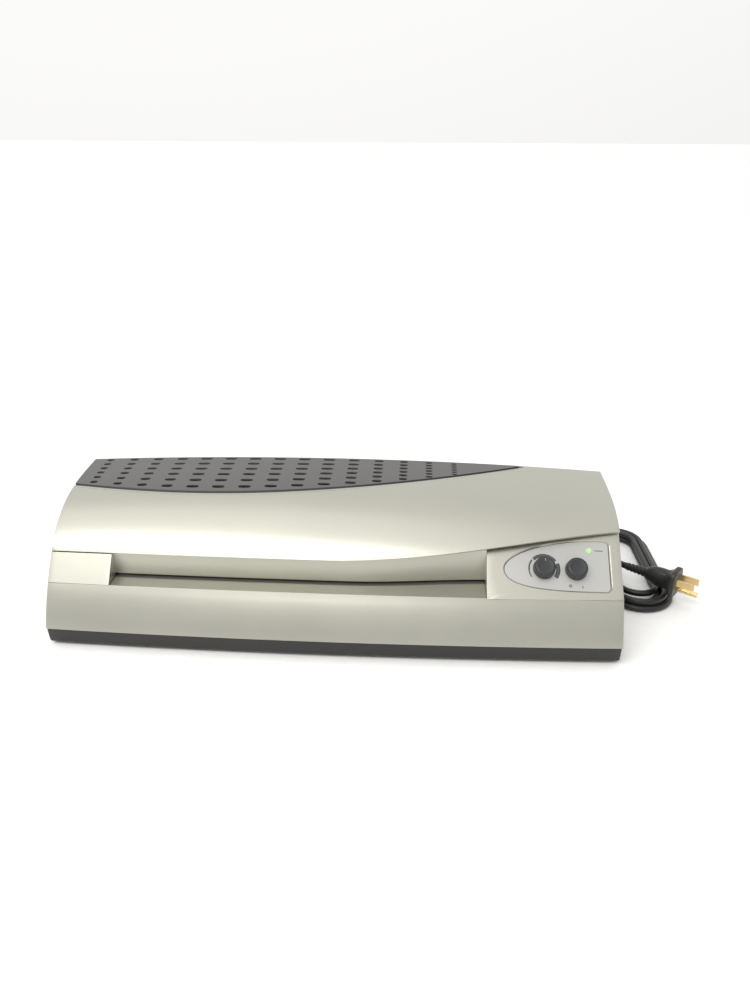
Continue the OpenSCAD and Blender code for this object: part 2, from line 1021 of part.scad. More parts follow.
// A pressure spring standing on each block, under the top of the frame's slot
module pressure_spring(x, y) {
    z0 = upper_roller_z + 7.5 + 0.5;
    turns = 3;
    height = 4;
    tube([
        for (i = [0:turns * 8]) let (a = 45 * i)
            [x + frame_t / 2 + 3 * cos(a), y + 3 * sin(a), z0 + height * i / (turns * 8)]
    ], 0.45, 5);
}

module front_pressure_springs() {
    color("#8f9296") {
        pressure_spring(left_x, front_roller_y);
        pressure_spring(right_x, front_roller_y);
    }
}

module rear_pressure_springs() {
    color("#8f9296") {
        pressure_spring(left_x, rear_roller_y);
        pressure_spring(right_x, rear_roller_y);
    }
}

// Drive

pin_r = 3;

module idler_gear() {
    color("#e8e2cc")
    gear(idler_y, lower_roller_z, idler_teeth, 180 / idler_teeth, pin_r + running_clearance);
}

module idler_pin() {
    color(steel)
    union() {
        bar(right_x + frame_t, gear_x + gear_w + 1.4, idler_y, lower_roller_z, pin_r);
        bar(gear_x + gear_w + 0.2, gear_x + gear_w + 1.4, idler_y, lower_roller_z, pin_r + 2);
    }
}

module motor_pinion() {
    color("#d9b15a")
    union() {
        gear(pinion_y, pinion_z, pinion_teeth, 135, 2);
        bar(gear_x, motor_x + 4, pinion_y, pinion_z, 2);
    }
}

motor_y = pinion_y + 4;
motor_z = pinion_z + 10;

module motor_body() {
    color("#8e9499")
    difference() {
        union() {
            bar(motor_x, motor_x + 20, motor_y, motor_z, 25);
            bar(motor_x + 20, motor_x + 22, motor_y, motor_z, 22);
            translate([motor_x + 4, motor_y - 8, motor_z + 20])
                cube([12, 16, 9]);
        }
        bar(motor_x - 1, motor_x + 5, pinion_y, pinion_z, 2 + running_clearance);
    }
}

module motor_bracket() {
    plate_x = motor_x - 2;
    color(steel)
    difference() {
        union() {
            translate([plate_x, 0, 0])
                on_left_end()
                    linear_extrude(height = 2)
                        polygon([[-6, 9], [74, 9], [74, 64], [62, 66], [8, 46], [-6, 22]]);
            for (p = [[-1, 14], [69, 14], [69, 59]])
                bar(right_x + frame_t, plate_x, p.x, p.y, 3.5);
        }
        bar(plate_x - 1, plate_x + 3, pinion_y, pinion_z, 5);
    }
}

// Power cord

module strain_relief() {
    y = cord_exit.y;
    color(black)
    translate([cord_exit.x, y, cord_exit.z])
        rotate([90, 0, 0])
            rotate_extrude()
                polygon([
                    [0, 0], [4.2, 0], [4.6, 4], [6.4, y - 90.2], [8, y - 90.2], [8, y - 89.3],
                    [5.8, y - 89.3], [5.8, y - 85.5], [8, y - 85.5], [8, y - 83], [0, y - 83]
                ]);
}

module power_cord() {
    color(black)
    tube(smooth_route(cord_route, 2), cord_d / 2, cord_sides);
}

module cord_hank() {
    color(black)
    linear_extrude(height = hank_h)
        union() {
            for (y = [hank_front_y, hank_rear_y])
                translate([hank_x, y])
                    circle(r = hank_r, $fn = 72);
            translate([hank_x - hank_r, hank_front_y])
                square([2 * hank_r, hank_rear_y - hank_front_y]);
        }
}

module plug_lead() {
    color(black)
    tube(smooth_route(lead_route, 2), cord_d / 2, cord_sides);
}

// Places its children at the plug's face: X out of the face, Z up
module on_plug() {
    translate(plug_at)
        rotate([0, 0, plug_turn])
            children();
}

module plug_body() {
    color("#262728")
    on_plug()
        rotate([0, -90, 0])
            union() {
                rotate_extrude()
                    polygon([
                        [0, 0], [11, 0], [11, 5], [9, 7], [8.2, 12], [7.4, plug_len], [4.4, plug_len + 3],
                        [3.6, plug_len + plug_relief_len], [0, plug_len + plug_relief_len]
                    ]);
                intersection() {
                    linear_extrude(height = 5)
                        square([23.6, 26], center = true);
                    cylinder(r = 13.4, h = 5);
                }
            }
}

module plug_blades() {
    color("#c8b27a")
    on_plug() {
        for (side = [-1, 1])
            translate([0, side * 6.35 - 0.75, 0])
                cube([17, 1.5, 6.3]);
        translate([0, 0, -6.5])
            rotate([0, 90, 0])
                cylinder(r = 2.4, h = 19);
    }
}

base_tray();
lower_cover();
feed_fascia();
upper_cover();
vent_grille();
control_plate();
ready_lens();
rubber_feet();
casing_screws();
selector_knob();
selector_switch();
power_knob();
power_switch();
control_board();
board_components();
terminal_block();
internal_wiring();
left_frame();
right_frame();
front_crossbar();
rear_crossbar();
frame_screws();
feed_guide_lower();
feed_guide_upper();
exit_guide_lower();
exit_guide_upper();
upper_heater_plate();
lower_heater_plate();
upper_heating_strip();
lower_heating_strip();
thermostat_switches();
thermal_fuse();
front_lower_shaft();
front_lower_sleeve();
front_lower_gear();
front_upper_shaft();
front_upper_sleeve();
front_upper_gear();
rear_lower_shaft();
rear_lower_sleeve();
rear_lower_gear();
rear_upper_shaft();
rear_upper_sleeve();
rear_upper_gear();
lower_bushes();
front_upper_bushes();
rear_upper_bushes();
front_pressure_springs();
rear_pressure_springs();
idler_gear();
idler_pin();
motor_pinion();
motor_body();
motor_bracket();
strain_relief();
power_cord();
cord_hank();
plug_lead();
plug_body();
plug_blades();
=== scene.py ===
"""Pouch laminator: the looks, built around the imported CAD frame.

Shapes are worked out in millimetres in the frame's own axes and turned into metres by put().
"""

import json
import math

import bmesh
import bpy
from mathutils import Matrix, Vector


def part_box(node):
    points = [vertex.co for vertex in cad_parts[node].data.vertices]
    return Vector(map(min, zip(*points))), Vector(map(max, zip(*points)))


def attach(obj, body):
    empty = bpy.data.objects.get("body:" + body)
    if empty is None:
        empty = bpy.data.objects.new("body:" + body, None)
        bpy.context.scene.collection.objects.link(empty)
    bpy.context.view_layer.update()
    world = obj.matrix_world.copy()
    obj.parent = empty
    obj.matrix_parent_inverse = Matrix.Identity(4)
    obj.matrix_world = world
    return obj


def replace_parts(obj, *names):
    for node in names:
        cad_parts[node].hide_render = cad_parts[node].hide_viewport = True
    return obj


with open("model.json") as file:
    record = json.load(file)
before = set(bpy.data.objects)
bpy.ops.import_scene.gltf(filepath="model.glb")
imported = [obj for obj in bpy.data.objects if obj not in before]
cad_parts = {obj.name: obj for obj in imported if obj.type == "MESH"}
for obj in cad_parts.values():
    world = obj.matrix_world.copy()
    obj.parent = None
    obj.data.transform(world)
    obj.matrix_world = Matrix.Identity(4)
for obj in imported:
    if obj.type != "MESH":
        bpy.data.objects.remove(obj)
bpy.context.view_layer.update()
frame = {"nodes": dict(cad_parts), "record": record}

MM = 0.001
NODES = frame["nodes"]

# ---------------------------------------------------------------- casing dimensions, mm

HALF_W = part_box("upper_cover")[1].x / MM
BOW = 5.4
CROWN = 7
BOW_LENGTH = 100
CROWN_FROM_Z, CROWN_HEIGHT = 50, 55
WALL = 2.3
SEAM_GAP = 0.8
BASE_TOP = 17.5
BASE_BOTTOM = 3
LIP = (-65.6, 52.4)
SHOULDER = (-48.5, 74.4)
RIDGE = (16, 108)
TOP_BACK = (70.3, 111.2)
BACK_CORNER = (75.7, 106.3)
BACK_BEND = (84.5, 62)
BACK_FOOT = (89.4, BASE_TOP)
FRONT_FOOT = (-84, BASE_TOP)
EXIT_Z = 60
SEAM_RISE, SEAM_RISE_X, SEAM_RISE_LENGTH = 21.7, -6, 279
SEAM_BULGE = 1.1
SEAM_FALL_Y, SEAM_FALL_LENGTH = -15, 95
ZONE_BACK_Y = -10.3
RECESS_X0, RECESS_X1 = -191, 131
SLOT_BOTTOM, SLOT_TOP = 52.2, 54.3
SLOT_WALL_Y, SLOT_WALL_STEP = -47.5, 8.7
SLOT_STEP_X, SLOT_STEP_LENGTH = 15, 125
SLOT_SILL_Z = 48.4
SLOT_FLOOR_Y = -36
ARC_X, ARC_R = -108, 600
GRILLE_PROUD = 0.8
LEDGE_DEPTH = 2.7
END_FILLET = 1.3
MERGE, GRID_MERGE = 0.002, 0.01

PANEL_AT = Vector((188, -45.5, 72.5))
PANEL_TURN = Matrix.Rotation(math.radians(41.8), 3, "X") @ Matrix.Rotation(math.radians(1.5), 3, "Y")
PANEL_X, PANEL_Y, PANEL_N = PANEL_TURN.col
PLATE_RECESS = 1


# ---------------------------------------------------------------- shape functions

def clamp01(v):
    return max(0.0, min(1.0, v))


def smooth(v):
    v = clamp01(v)
    return v * v * (3 - 2 * v)


def mix(a, b, t):
    return a + (b - a) * t


def spread(a, b, n):
    """n steps from a to b, both ends included."""
    return [mix(a, b, i / n) for i in range(n + 1)]


def bulge(x):
    return 1 - (x / HALF_W) ** 2


def bowed(x, y, z):
    """A point of a cross-section, moved forward by the bow and up by the crown at station x."""
    forward = BOW * bulge(x) * clamp01((RIDGE[0] - y) / BOW_LENGTH)
    up = CROWN * bulge(x) * clamp01((z - CROWN_FROM_Z) / CROWN_HEIGHT)
    return Vector((x, y - forward, z + up))


def bezier(a, b, c, d, n):
    points = []
    for t in spread(0, 1, n):
        s = 1 - t
        points.append(tuple(
            s ** 3 * p + 3 * s * s * t * q + 3 * s * t * t * r + t ** 3 * u
            for p, q, r, u in zip(a, b, c, d)
        ))
    return points


def seam_front(x):
    """Height of the seam at the front: nearly level on the left, sweeping up over the panel."""
    rise = SEAM_RISE * smooth((x - SEAM_RISE_X) / SEAM_RISE_LENGTH)
    return SHOULDER[1] + SEAM_BULGE * bulge(x) + rise


def seam_z(x, y):
    """Height of the seam under the upper cover."""
    return mix(seam_front(x), EXIT_Z, smooth((y - SEAM_FALL_Y) / SEAM_FALL_LENGTH))


def arc_y(x):
    """Front edge of the vent grille."""
    return ARC_R - math.sqrt(ARC_R ** 2 - (x - ARC_X) ** 2)


def slot_wall_y(x):
    """Where the wall above the slot stands: it steps back towards the right."""
    return SLOT_WALL_Y + SLOT_WALL_STEP * smooth((x - SLOT_STEP_X) / SLOT_STEP_LENGTH)


def solve(f, low, high):
    """Where f goes from negative to positive between low and high."""
    for _ in range(40):
        middle = (low + high) / 2
        if f(middle) < 0:
            low = middle
        else:
            high = middle
    return (low + high) / 2


class Run:
    """A cross-section's line, measured along its length."""

    def __init__(self, points):
        self.points = [points[0]]
        self.marks = [0.0]
        for p in points[1:]:
            step = math.dist(p, self.points[-1])
            if step > 1e-6:
                self.points.append(p)
                self.marks.append(self.marks[-1] + step)
        self.length = self.marks[-1]

    def at(self, s):
        s = max(0.0, min(self.length, s))
        low, high = 0, len(self.marks) - 1
        while high - low > 1:
            middle = (low + high) // 2
            if self.marks[middle] <= s:
                low = middle
            else:
                high = middle
        t = (s - self.marks[low]) / (self.marks[high] - self.marks[low])
        a, b = self.points[low], self.points[high]
        return mix(a[0], b[0], t), mix(a[1], b[1], t)


FRONT_WALL = Run(bezier(FRONT_FOOT, (-80.5, 28), (-73, 42.2), LIP, 24))
FRONT = Run(
    [LIP] + bezier(SHOULDER, (-37.5, 89.5), (-13, 105), RIDGE, 60)
    + bezier(RIDGE, (34, 110.2), (52, 110.6), TOP_BACK, 24)
)
BACK = Run(
    bezier(TOP_BACK, (73.6, 111.4), (75, 110), BACK_CORNER, 10)
    + bezier(BACK_BEND, (86.3, 47), (88.2, 30), BACK_FOOT, 10)
)


def front_at(x, s):
    return bowed(x, *FRONT.at(s))


def back_at(x, s):
    return bowed(x, *BACK.at(s))


def front_mark_at_y(x, y):
    return solve(lambda s: front_at(x, s).y - y, 0, FRONT.length)


def top_point(x, y, lower=0.0):
    p = front_at(x, front_mark_at_y(x, y))
    return Vector((x, y, p.z - lower))


def front_seam_mark(x, gap=0.0):
    def above(s):
        p = front_at(x, s)
        return p.z - (seam_z(x, p.y) - gap)
    return solve(above, 0, FRONT.length * 0.7)


def back_seam_mark(x):
    def below(s):
        p = back_at(x, s)
        return seam_z(x, p.y) - p.z
    return solve(below, 0, BACK.length)


# ---------------------------------------------------------------- mesh helpers

class Sheet:
    """Collects grids of points, in mm, into one mesh."""

    def __init__(self):
        self.points = []
        self.faces = []

    def grid(self, rows, keep=None, closed=False):
        base = len(self.points)
        width = len(rows[0])
        for row in rows:
            self.points.extend(row)
        for i in range(len(rows) - 1):
            for j in range(width if closed else width - 1):
                if keep and not keep(i, j):
                    continue
                k = (j + 1) % width
                a, b = base + i * width, base + (i + 1) * width
                self.faces.append((a + j, a + k, b + k, b + j))
        return self

    def fan(self, ring, centre):
        base = len(self.points)
        self.points.extend(list(ring) + [centre])
        count = len(ring)
        for j in range(count):
            self.faces.append((base + j, base + (j + 1) % count, base + count))
        return self


def put(name, sheet, body, slot, inside=None, merge=MERGE, ink=None):
    """Turns a sheet into an object that rides on a body. Its faces look away from the point inside."""
    mesh = bpy.data.meshes.new(name)
    mesh.from_pydata([tuple(Vector(p) * MM) for p in sheet.points], [], sheet.faces)
    work = bmesh.new()
    work.from_mesh(mesh)
    bmesh.ops.remove_doubles(work, verts=work.verts, dist=merge * MM)
    bmesh.ops.dissolve_degenerate(work, edges=work.edges, dist=merge * MM)
    bmesh.ops.recalc_face_normals(work, faces=work.faces)
    if inside is not None:
        centre = Vector(inside) * MM
        out = sum(f.normal.dot(f.calc_center_median() - centre) * f.calc_area() for f in work.faces)
        if out < 0:
            bmesh.ops.reverse_faces(work, faces=work.faces)
    for face in work.faces:
        face.smooth = True
    work.to_mesh(mesh)
    work.free()
    piece = bpy.data.objects.new(name, mesh)
    bpy.context.scene.collection.objects.link(piece)
    mesh.materials.append(ink or LOOKS[slot])
    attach(piece, body)
    return piece


def thicken(piece, thickness):
    shell = piece.modifiers.new("wall", "SOLIDIFY")
    shell.thickness = thickness * MM
    shell.offset = -1
    shell.use_quality_normals = True
    shell.thickness_clamp = 0


def soften(piece, width, angle=40, segments=3):
    """Small rounding on every hard edge."""
    edge = piece.modifiers.new("edges", "BEVEL")
    edge.limit_method = "ANGLE"
    edge.angle_limit = math.radians(angle)
    edge.width = width * MM
    edge.segments = segments
    edge.harden_normals = True
    edge.use_clamp_overlap = True


def lathe(profile, count=64):
    """Rings about the Z axis from (radius, height) pairs."""
    rows = [
        [Vector((r * math.cos(a), r * math.sin(a), z)) for a in spread(0, 2 * math.pi, count)[:-1]]
        for r, z in profile
    ]
    return Sheet().grid(rows, closed=True)


def moved(sheet, matrix):
    sheet.points = [matrix @ Vector(p) for p in sheet.points]
    return sheet


def joined(*sheets):
    whole = Sheet()
    for sheet in sheets:
        base = len(whole.points)
        whole.points.extend(sheet.points)
        whole.faces.extend(tuple(base + i for i in face) for face in sheet.faces)
    return whole


def panel_matrix(x=0.0, y=0.0, z=0.0, turn=0.0):
    """Places a shape on the control panel, turned about the panel's outward axis (degrees)."""
    at = PANEL_AT + PANEL_X * x + PANEL_Y * y + PANEL_N * z
    return Matrix.Translation(at) @ (PANEL_TURN @ Matrix.Rotation(math.radians(turn), 3, "Z")).to_4x4()


# ---------------------------------------------------------------- camera

CAMERA_AT = Vector((67.5, -650.4, 412.1))
CAMERA_PITCH = 25
CAMERA_YAW = 2.995
CAMERA_ROLL = 0.275
camera_data = bpy.data.cameras.new("camera")
camera_data.sensor_width = 36
camera_data.lens = 29.12
camera_data.clip_start = 0.01
camera = bpy.data.objects.new("camera", camera_data)
bpy.context.scene.collection.objects.link(camera)
camera.matrix_world = (
    Matrix.Translation(CAMERA_AT * MM)
    @ Matrix.Rotation(math.radians(CAMERA_YAW), 4, "Z")
    @ Matrix.Rotation(math.radians(90 - CAMERA_PITCH), 4, "X")
    @ Matrix.Rotation(math.radians(CAMERA_ROLL), 4, "Z")
)
bpy.context.scene.camera = camera


# ---------------------------------------------------------------- materials

def new_material(name):
    material = bpy.data.materials.new(name)
    material.use_nodes = True
    tree = material.node_tree
    shader = tree.nodes["Principled BSDF"]
    return material, tree, shader


def place(tree):
    return tree.nodes.new("ShaderNodeTexCoord").outputs["Object"]


def noise(tree, where, scale, detail=2.0, roughness=0.5):
    node = tree.nodes.new("ShaderNodeTexNoise")
    node.inputs["Scale"].default_value = scale
    node.inputs["Detail"].default_value = detail
    node.inputs["Roughness"].default_value = roughness
    tree.links.new(where, node.inputs["Vector"])
    return node.outputs["Fac"]


def ramp(tree, value, stops):
    node = tree.nodes.new("ShaderNodeValToRGB")
    band = node.color_ramp
    band.elements[0].position, band.elements[0].color = stops[0][0], (*stops[0][1], 1)
    band.elements[1].position, band.elements[1].color = stops[-1][0], (*stops[-1][1], 1)
    for position, colour in stops[1:-1]:
        band.elements.new(position).color = (*colour, 1)
    tree.links.new(value, node.inputs["Fac"])
    return node.outputs["Color"]


def span(tree, value, low, high):
    node = tree.nodes.new("ShaderNodeMapRange")
    node.inputs["To Min"].default_value = low
    node.inputs["To Max"].default_value = high
    tree.links.new(value, node.inputs["Value"])
    return node.outputs["Result"]


def bump(tree, shader, height, strength, distance):
    node = tree.nodes.new("ShaderNodeBump")
    node.inputs["Strength"].default_value = strength
    node.inputs["Distance"].default_value = distance * MM
    tree.links.new(height, node.inputs["Height"])
    tree.links.new(node.outputs["Normal"], shader.inputs["Normal"])


def shade(colour, share):
    return tuple(c * share for c in colour)


def moulded(name, colour, roughness, grain=900, depth=0.05, metallic=0.0, vary=0.08, coat=0.0):
    """Moulded or painted plastic: slow colour variation, fine grain, uneven gloss."""
    material, tree, shader = new_material(name)
    where = place(tree)
    slow = noise(tree, where, 14, 3)
    fine = noise(tree, where, grain, 2)
    blend = tree.nodes.new("ShaderNodeMath")
    blend.operation = "ADD"
    tree.links.new(span(tree, slow, -0.5 * vary, 0.5 * vary), blend.inputs[0])
    tree.links.new(span(tree, fine, 0.5 - vary, 0.5 + vary), blend.inputs[1])
    tree.links.new(
        ramp(tree, blend.outputs[0], [(0.3, shade(colour, 0.86)), (0.7, shade(colour, 1.14))]),
        shader.inputs["Base Color"],
    )
    tree.links.new(span(tree, slow, roughness - 0.05, roughness + 0.05), shader.inputs["Roughness"])
    bump(tree, shader, fine, 0.35, depth)
    shader.inputs["Metallic"].default_value = metallic
    shader.inputs["Coat Weight"].default_value = coat
    shader.inputs["Coat Roughness"].default_value = 0.25
    return material


def brushed(name, colour, roughness=0.32, along="X"):
    """Rolled or turned metal with a fine directional grain."""
    material, tree, shader = new_material(name)
    stretch = tree.nodes.new("ShaderNodeMapping")
    stretch.inputs["Scale"].default_value = {"X": (0.06, 1, 1), "Z": (1, 1, 0.06)}[along]
    tree.links.new(place(tree), stretch.inputs["Vector"])
    grain = noise(tree, stretch.outputs["Vector"], 1400, 3)
    tree.links.new(
        ramp(tree, grain, [(0.25, shade(colour, 0.88)), (0.75, shade(colour, 1.08))]),
        shader.inputs["Base Color"],
    )
    tree.links.new(span(tree, grain, roughness - 0.05, roughness + 0.07), shader.inputs["Roughness"])
    bump(tree, shader, grain, 0.12, 0.01)
    shader.inputs["Metallic"].default_value = 1.0
    return material


def rubbery(name, colour, roughness=0.5, sheen=0.15):
    material, tree, shader = new_material(name)
    where = place(tree)
    dust = noise(tree, where, 60, 4, 0.6)
    fine = noise(tree, where, 1800, 2)
    tree.links.new(
        ramp(tree, dust, [(0.35, colour), (0.8, tuple(min(1, c * 1.5 + 0.006) for c in colour))]),
        shader.inputs["Base Color"],
    )
    tree.links.new(span(tree, dust, roughness - 0.07, roughness + 0.09), shader.inputs["Roughness"])
    bump(tree, shader, fine, 0.25, 0.03)
    shader.inputs["Sheen Weight"].default_value = sheen
    return material


def lit_lens(name):
    material, tree, shader = new_material(name)
    glow = noise(tree, place(tree), 500, 1)
    tree.links.new(
        ramp(tree, glow, [(0.2, (0.12, 0.62, 0.06)), (0.8, (0.3, 0.95, 0.16))]),
        shader.inputs["Base Color"],
    )
    tree.links.new(
        ramp(tree, glow, [(0.2, (0.16, 0.85, 0.08)), (0.8, (0.4, 1.0, 0.2))]),
        shader.inputs["Emission Color"],
    )
    shader.inputs["Emission Strength"].default_value = 1.1
    shader.inputs["Roughness"].default_value = 0.2
    return material


SILVER = (0.47, 0.465, 0.405)
LOOKS = {
    "black_plastic": moulded("black_plastic", (0.018, 0.018, 0.0165), 0.5, 700, 0.08),
    "silver_shell": moulded("silver_shell", SILVER, 0.34, 1700, 0.02, 0.8, 0.12, 0.1),
    "grille_plastic": moulded("grille_plastic", (0.105, 0.104, 0.102), 0.45, 900, 0.06),
    "label_plate": moulded("label_plate", (0.47, 0.47, 0.45), 0.4, 1500, 0.02, 0.35, 0.05),
    "lens": lit_lens("lens"),
    "black_rubber": rubbery("black_rubber", (0.025, 0.025, 0.025), 0.6),
    "screw_steel": brushed("screw_steel", (0.62, 0.62, 0.63), 0.3, "Z"),
    "knob_plastic": moulded("knob_plastic", (0.026, 0.028, 0.03), 0.36, 1100, 0.05),
    "switch_plastic": moulded("switch_plastic", (0.2, 0.24, 0.36), 0.45),
    "circuit_board": moulded("circuit_board", (0.05, 0.2, 0.07), 0.35, 300, 0.04, 0.0, 0.2, 0.3),
    "component_plastic": moulded("component_plastic", (0.55, 0.5, 0.38), 0.5),
    "terminal_plastic": moulded("terminal_plastic", (0.75, 0.72, 0.62), 0.5),
    "wire_insulation": rubbery("wire_insulation", (0.2, 0.08, 0.05), 0.45),
    "frame_steel": brushed("frame_steel", (0.6, 0.61, 0.62), 0.38),
    "plate_aluminium": brushed("plate_aluminium", (0.78, 0.79, 0.8), 0.3),
    "heater_film": moulded("heater_film", (0.45, 0.2, 0.05), 0.3, 200, 0.05, 0.0, 0.15, 0.4),
    "thermostat_metal": brushed("thermostat_metal", (0.66, 0.66, 0.66), 0.3, "Z"),
    "shaft_steel": brushed("shaft_steel", (0.55, 0.56, 0.57), 0.22),
    "silicone_rubber": rubbery("silicone_rubber", (0.3, 0.07, 0.05), 0.5),
    "gear_nylon": moulded("gear_nylon", (0.74, 0.7, 0.58), 0.42, 500, 0.04),
    "bronze": brushed("bronze", (0.52, 0.35, 0.17), 0.42),
    "spring_steel": brushed("spring_steel", (0.5, 0.5, 0.52), 0.28),
    "brass": brushed("brass", (0.78, 0.6, 0.3), 0.24),
    "motor_can": brushed("motor_can", (0.42, 0.43, 0.45), 0.42),
    "cord_jacket": rubbery("cord_jacket", (0.006, 0.006, 0.0065), 0.38, 0.05),
    "plug_rubber": rubbery("plug_rubber", (0.009, 0.009, 0.0095), 0.4, 0.05),
}
print_ink = moulded("print_ink", (0.09, 0.095, 0.1), 0.5, 1500, 0.01, 0.0, 0.05)
pointer_ink = moulded("pointer_ink", (0.3, 0.3, 0.3), 0.5, 1500, 0.01, 0.0, 0.05)
dull_ink = moulded("dull_ink", (0.06, 0.06, 0.06), 0.5, 1500, 0.01, 0.0, 0.05)

for row in frame["record"]["subparts"]:
    node = NODES[row["node"]]
    node.data.materials.clear()
    node.data.materials.append(LOOKS[row["material_slot"]])


# ---------------------------------------------------------------- power cord

CORD_D = 6
CORD_EXIT = (195, 119, 22)
CORD_ROUTE = [
    (195, 119, 22), (195, 127, 21), (197, 138, 18), (202, 149, 13), (211, 157, 8), (222, 160, 4.5),
    (233, 157.5, 3.2), (241.5, 150, 3), (246.5, 139, 3),
]
LEAD_ROUTE = [
    (258, 112, 12.4), (256.8, 98, 15.2), (258.5, 84, 17.6), (262, 72, 19.8), (265.5, 61, 21.5),
    (269.8, 52.5, 23), (275, 46, 24),
]
HANK_X, HANK_FRONT_Y, HANK_REAR_Y = 285, 31.5, 126.5
LANE = 6
OUTER, MIDDLE, INNER = 30, 24, 18
LOW_Z, HIGH_Z = 3, 9.1
CHANGE_LENGTH = 60


def smooth_route(points, steps=6):
    """A Catmull-Rom run through the points."""
    points = [Vector(p) for p in points]
    last = len(points) - 1
    run = []
    for i in range(last):
        a, b, c, d = points[max(0, i - 1)], points[i], points[i + 1], points[min(last, i + 2)]
        for k in range(steps):
            t = k / steps
            run.append(
                b + (c - a) * t / 2 + (2 * a - 5 * b + 4 * c - d) * t * t / 2
                + (3 * b - a - 3 * c + d) * t ** 3 / 2
            )
    run.append(points[last])
    return run


def change(start, end, dip, front_y):
    """The left run, where a turn moves from one lane to the next: start and end are (radius, height)."""
    points = []
    for t in spread(0, 1, 8)[1:]:
        radius = mix(start[0], end[0], smooth(t)) - dip * math.sin(math.pi * t)
        height = mix(start[1], end[1], smooth(t))
        points.append((HANK_X - radius, HANK_REAR_Y - CHANGE_LENGTH * t, height))
    y = HANK_REAR_Y - CHANGE_LENGTH
    points += [(HANK_X - end[0], mix(y, front_y, t), end[1]) for t in spread(0, 1, 4)[1:]]
    return points


def fold(radius, height, y, start, end):
    """Half a circle about the hank's middle line, without its first point."""
    angles = [math.radians(a) for a in spread(start, end, 14)[1:]]
    return [(HANK_X + radius * math.cos(a), y + radius * math.sin(a), height) for a in angles]


def rest_of_turn(radius, height, front_y):
    """Front fold, right run and rear fold at one radius."""
    points = fold(radius, height, front_y, 180, 360)
    points += [(HANK_X + radius, mix(front_y, HANK_REAR_Y, t), height) for t in spread(0, 1, 8)[1:]]
    return points + fold(radius, height, HANK_REAR_Y, 0, 180)


def cord_points():
    """The whole cord. A lane is its (radius, height) at the start and end, a dip inwards and a step back."""
    run = smooth_route(CORD_ROUTE + [(HANK_X - OUTER - LANE, HANK_REAR_Y, LOW_Z)])
    lanes = [
        ((OUTER + LANE, LOW_Z), (OUTER, LOW_Z), 0.0, 0),
        ((OUTER, LOW_Z), (MIDDLE, LOW_Z), 0.0, 0),
        ((MIDDLE, LOW_Z), (INNER, LOW_Z), 0.0, 0),
        ((INNER, LOW_Z), (INNER, HIGH_Z), 3.4, 6),
        ((INNER, HIGH_Z), (MIDDLE, HIGH_Z), 0.0, -3),
    ]
    for start, end, dip, back in lanes:
        front_y = HANK_FRONT_Y + back
        run += change(start, end, dip, front_y)
        run += rest_of_turn(*end, front_y)
    run += smooth_route([run[-1]] + LEAD_ROUTE)[1:]
    return run


def curve_piece(name, points, radius, slot, body):
    data = bpy.data.curves.new(name, "CURVE")
    data.dimensions = "3D"
    data.bevel_depth = radius * MM
    data.bevel_resolution = 5
    data.use_fill_caps = True
    spline = data.splines.new("POLY")
    spline.points.add(len(points) - 1)
    for place_at, p in zip(spline.points, points):
        place_at.co = (*(Vector(p) * MM), 1)
    spline.use_smooth = True
    data.materials.append(LOOKS[slot])
    piece = bpy.data.objects.new(name, data)
    bpy.context.scene.collection.objects.link(piece)
    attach(piece, body)
    return piece


route = cord_points()
cord_length = sum((Vector(b) - Vector(a)).length for a, b in zip(route, route[1:])) * MM
mains_cord = curve_piece("mains_cord", route, CORD_D / 2, "cord_jacket", "housing")
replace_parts(mains_cord, "power_cord", "cord_hank", "plug_lead")


# ---------------------------------------------------------------- strain relief and plug

PLUG_AT = (316, 16, 24)
PLUG_TURN = -36


def strain_relief():
    """A tapered sleeve with six ribs, and the collar that holds it in the casing."""
    tip, wide, start, end = 4.2, 6.3, CORD_EXIT[1], 90.4
    profile = [(3.0, 0), (tip - 0.5, 0), (tip, 0.6)]
    ribs = 6
    length = start - end
    for i in range(ribs):
        a, b = 3 + i * (length - 6) / ribs, 3 + (i + 0.72) * (length - 6) / ribs
        ra, rb = mix(tip, wide, a / length), mix(tip, wide, b / length)
        profile += [(ra - 0.9, a - 0.5), (ra, a), (rb, b), (rb - 0.9, b + 0.5)]
    profile += [
        (wide, length), (7.8, length + 0.2), (8, length + 0.6), (8, length + 1.1), (5.8, length + 1.1),
        (5.8, length + 4.8), (8, length + 4.8), (8, length + 7.2), (3.0, length + 7.2),
    ]
    turn = Matrix.Translation(CORD_EXIT) @ Matrix.Rotation(math.radians(90), 4, "X")
    sheet = moved(lathe(profile, 48), turn)
    piece = put("strain_relief_sleeve", sheet, "housing", "black_rubber",
                (CORD_EXIT[0], 100, CORD_EXIT[2]))
    soften(piece, 0.25, 35, 2)
    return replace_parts(piece, "strain_relief")


def on_plug(sheet):
    turn = Matrix.Translation(PLUG_AT) @ Matrix.Rotation(math.radians(PLUG_TURN), 4, "Z")
    return moved(sheet, turn)


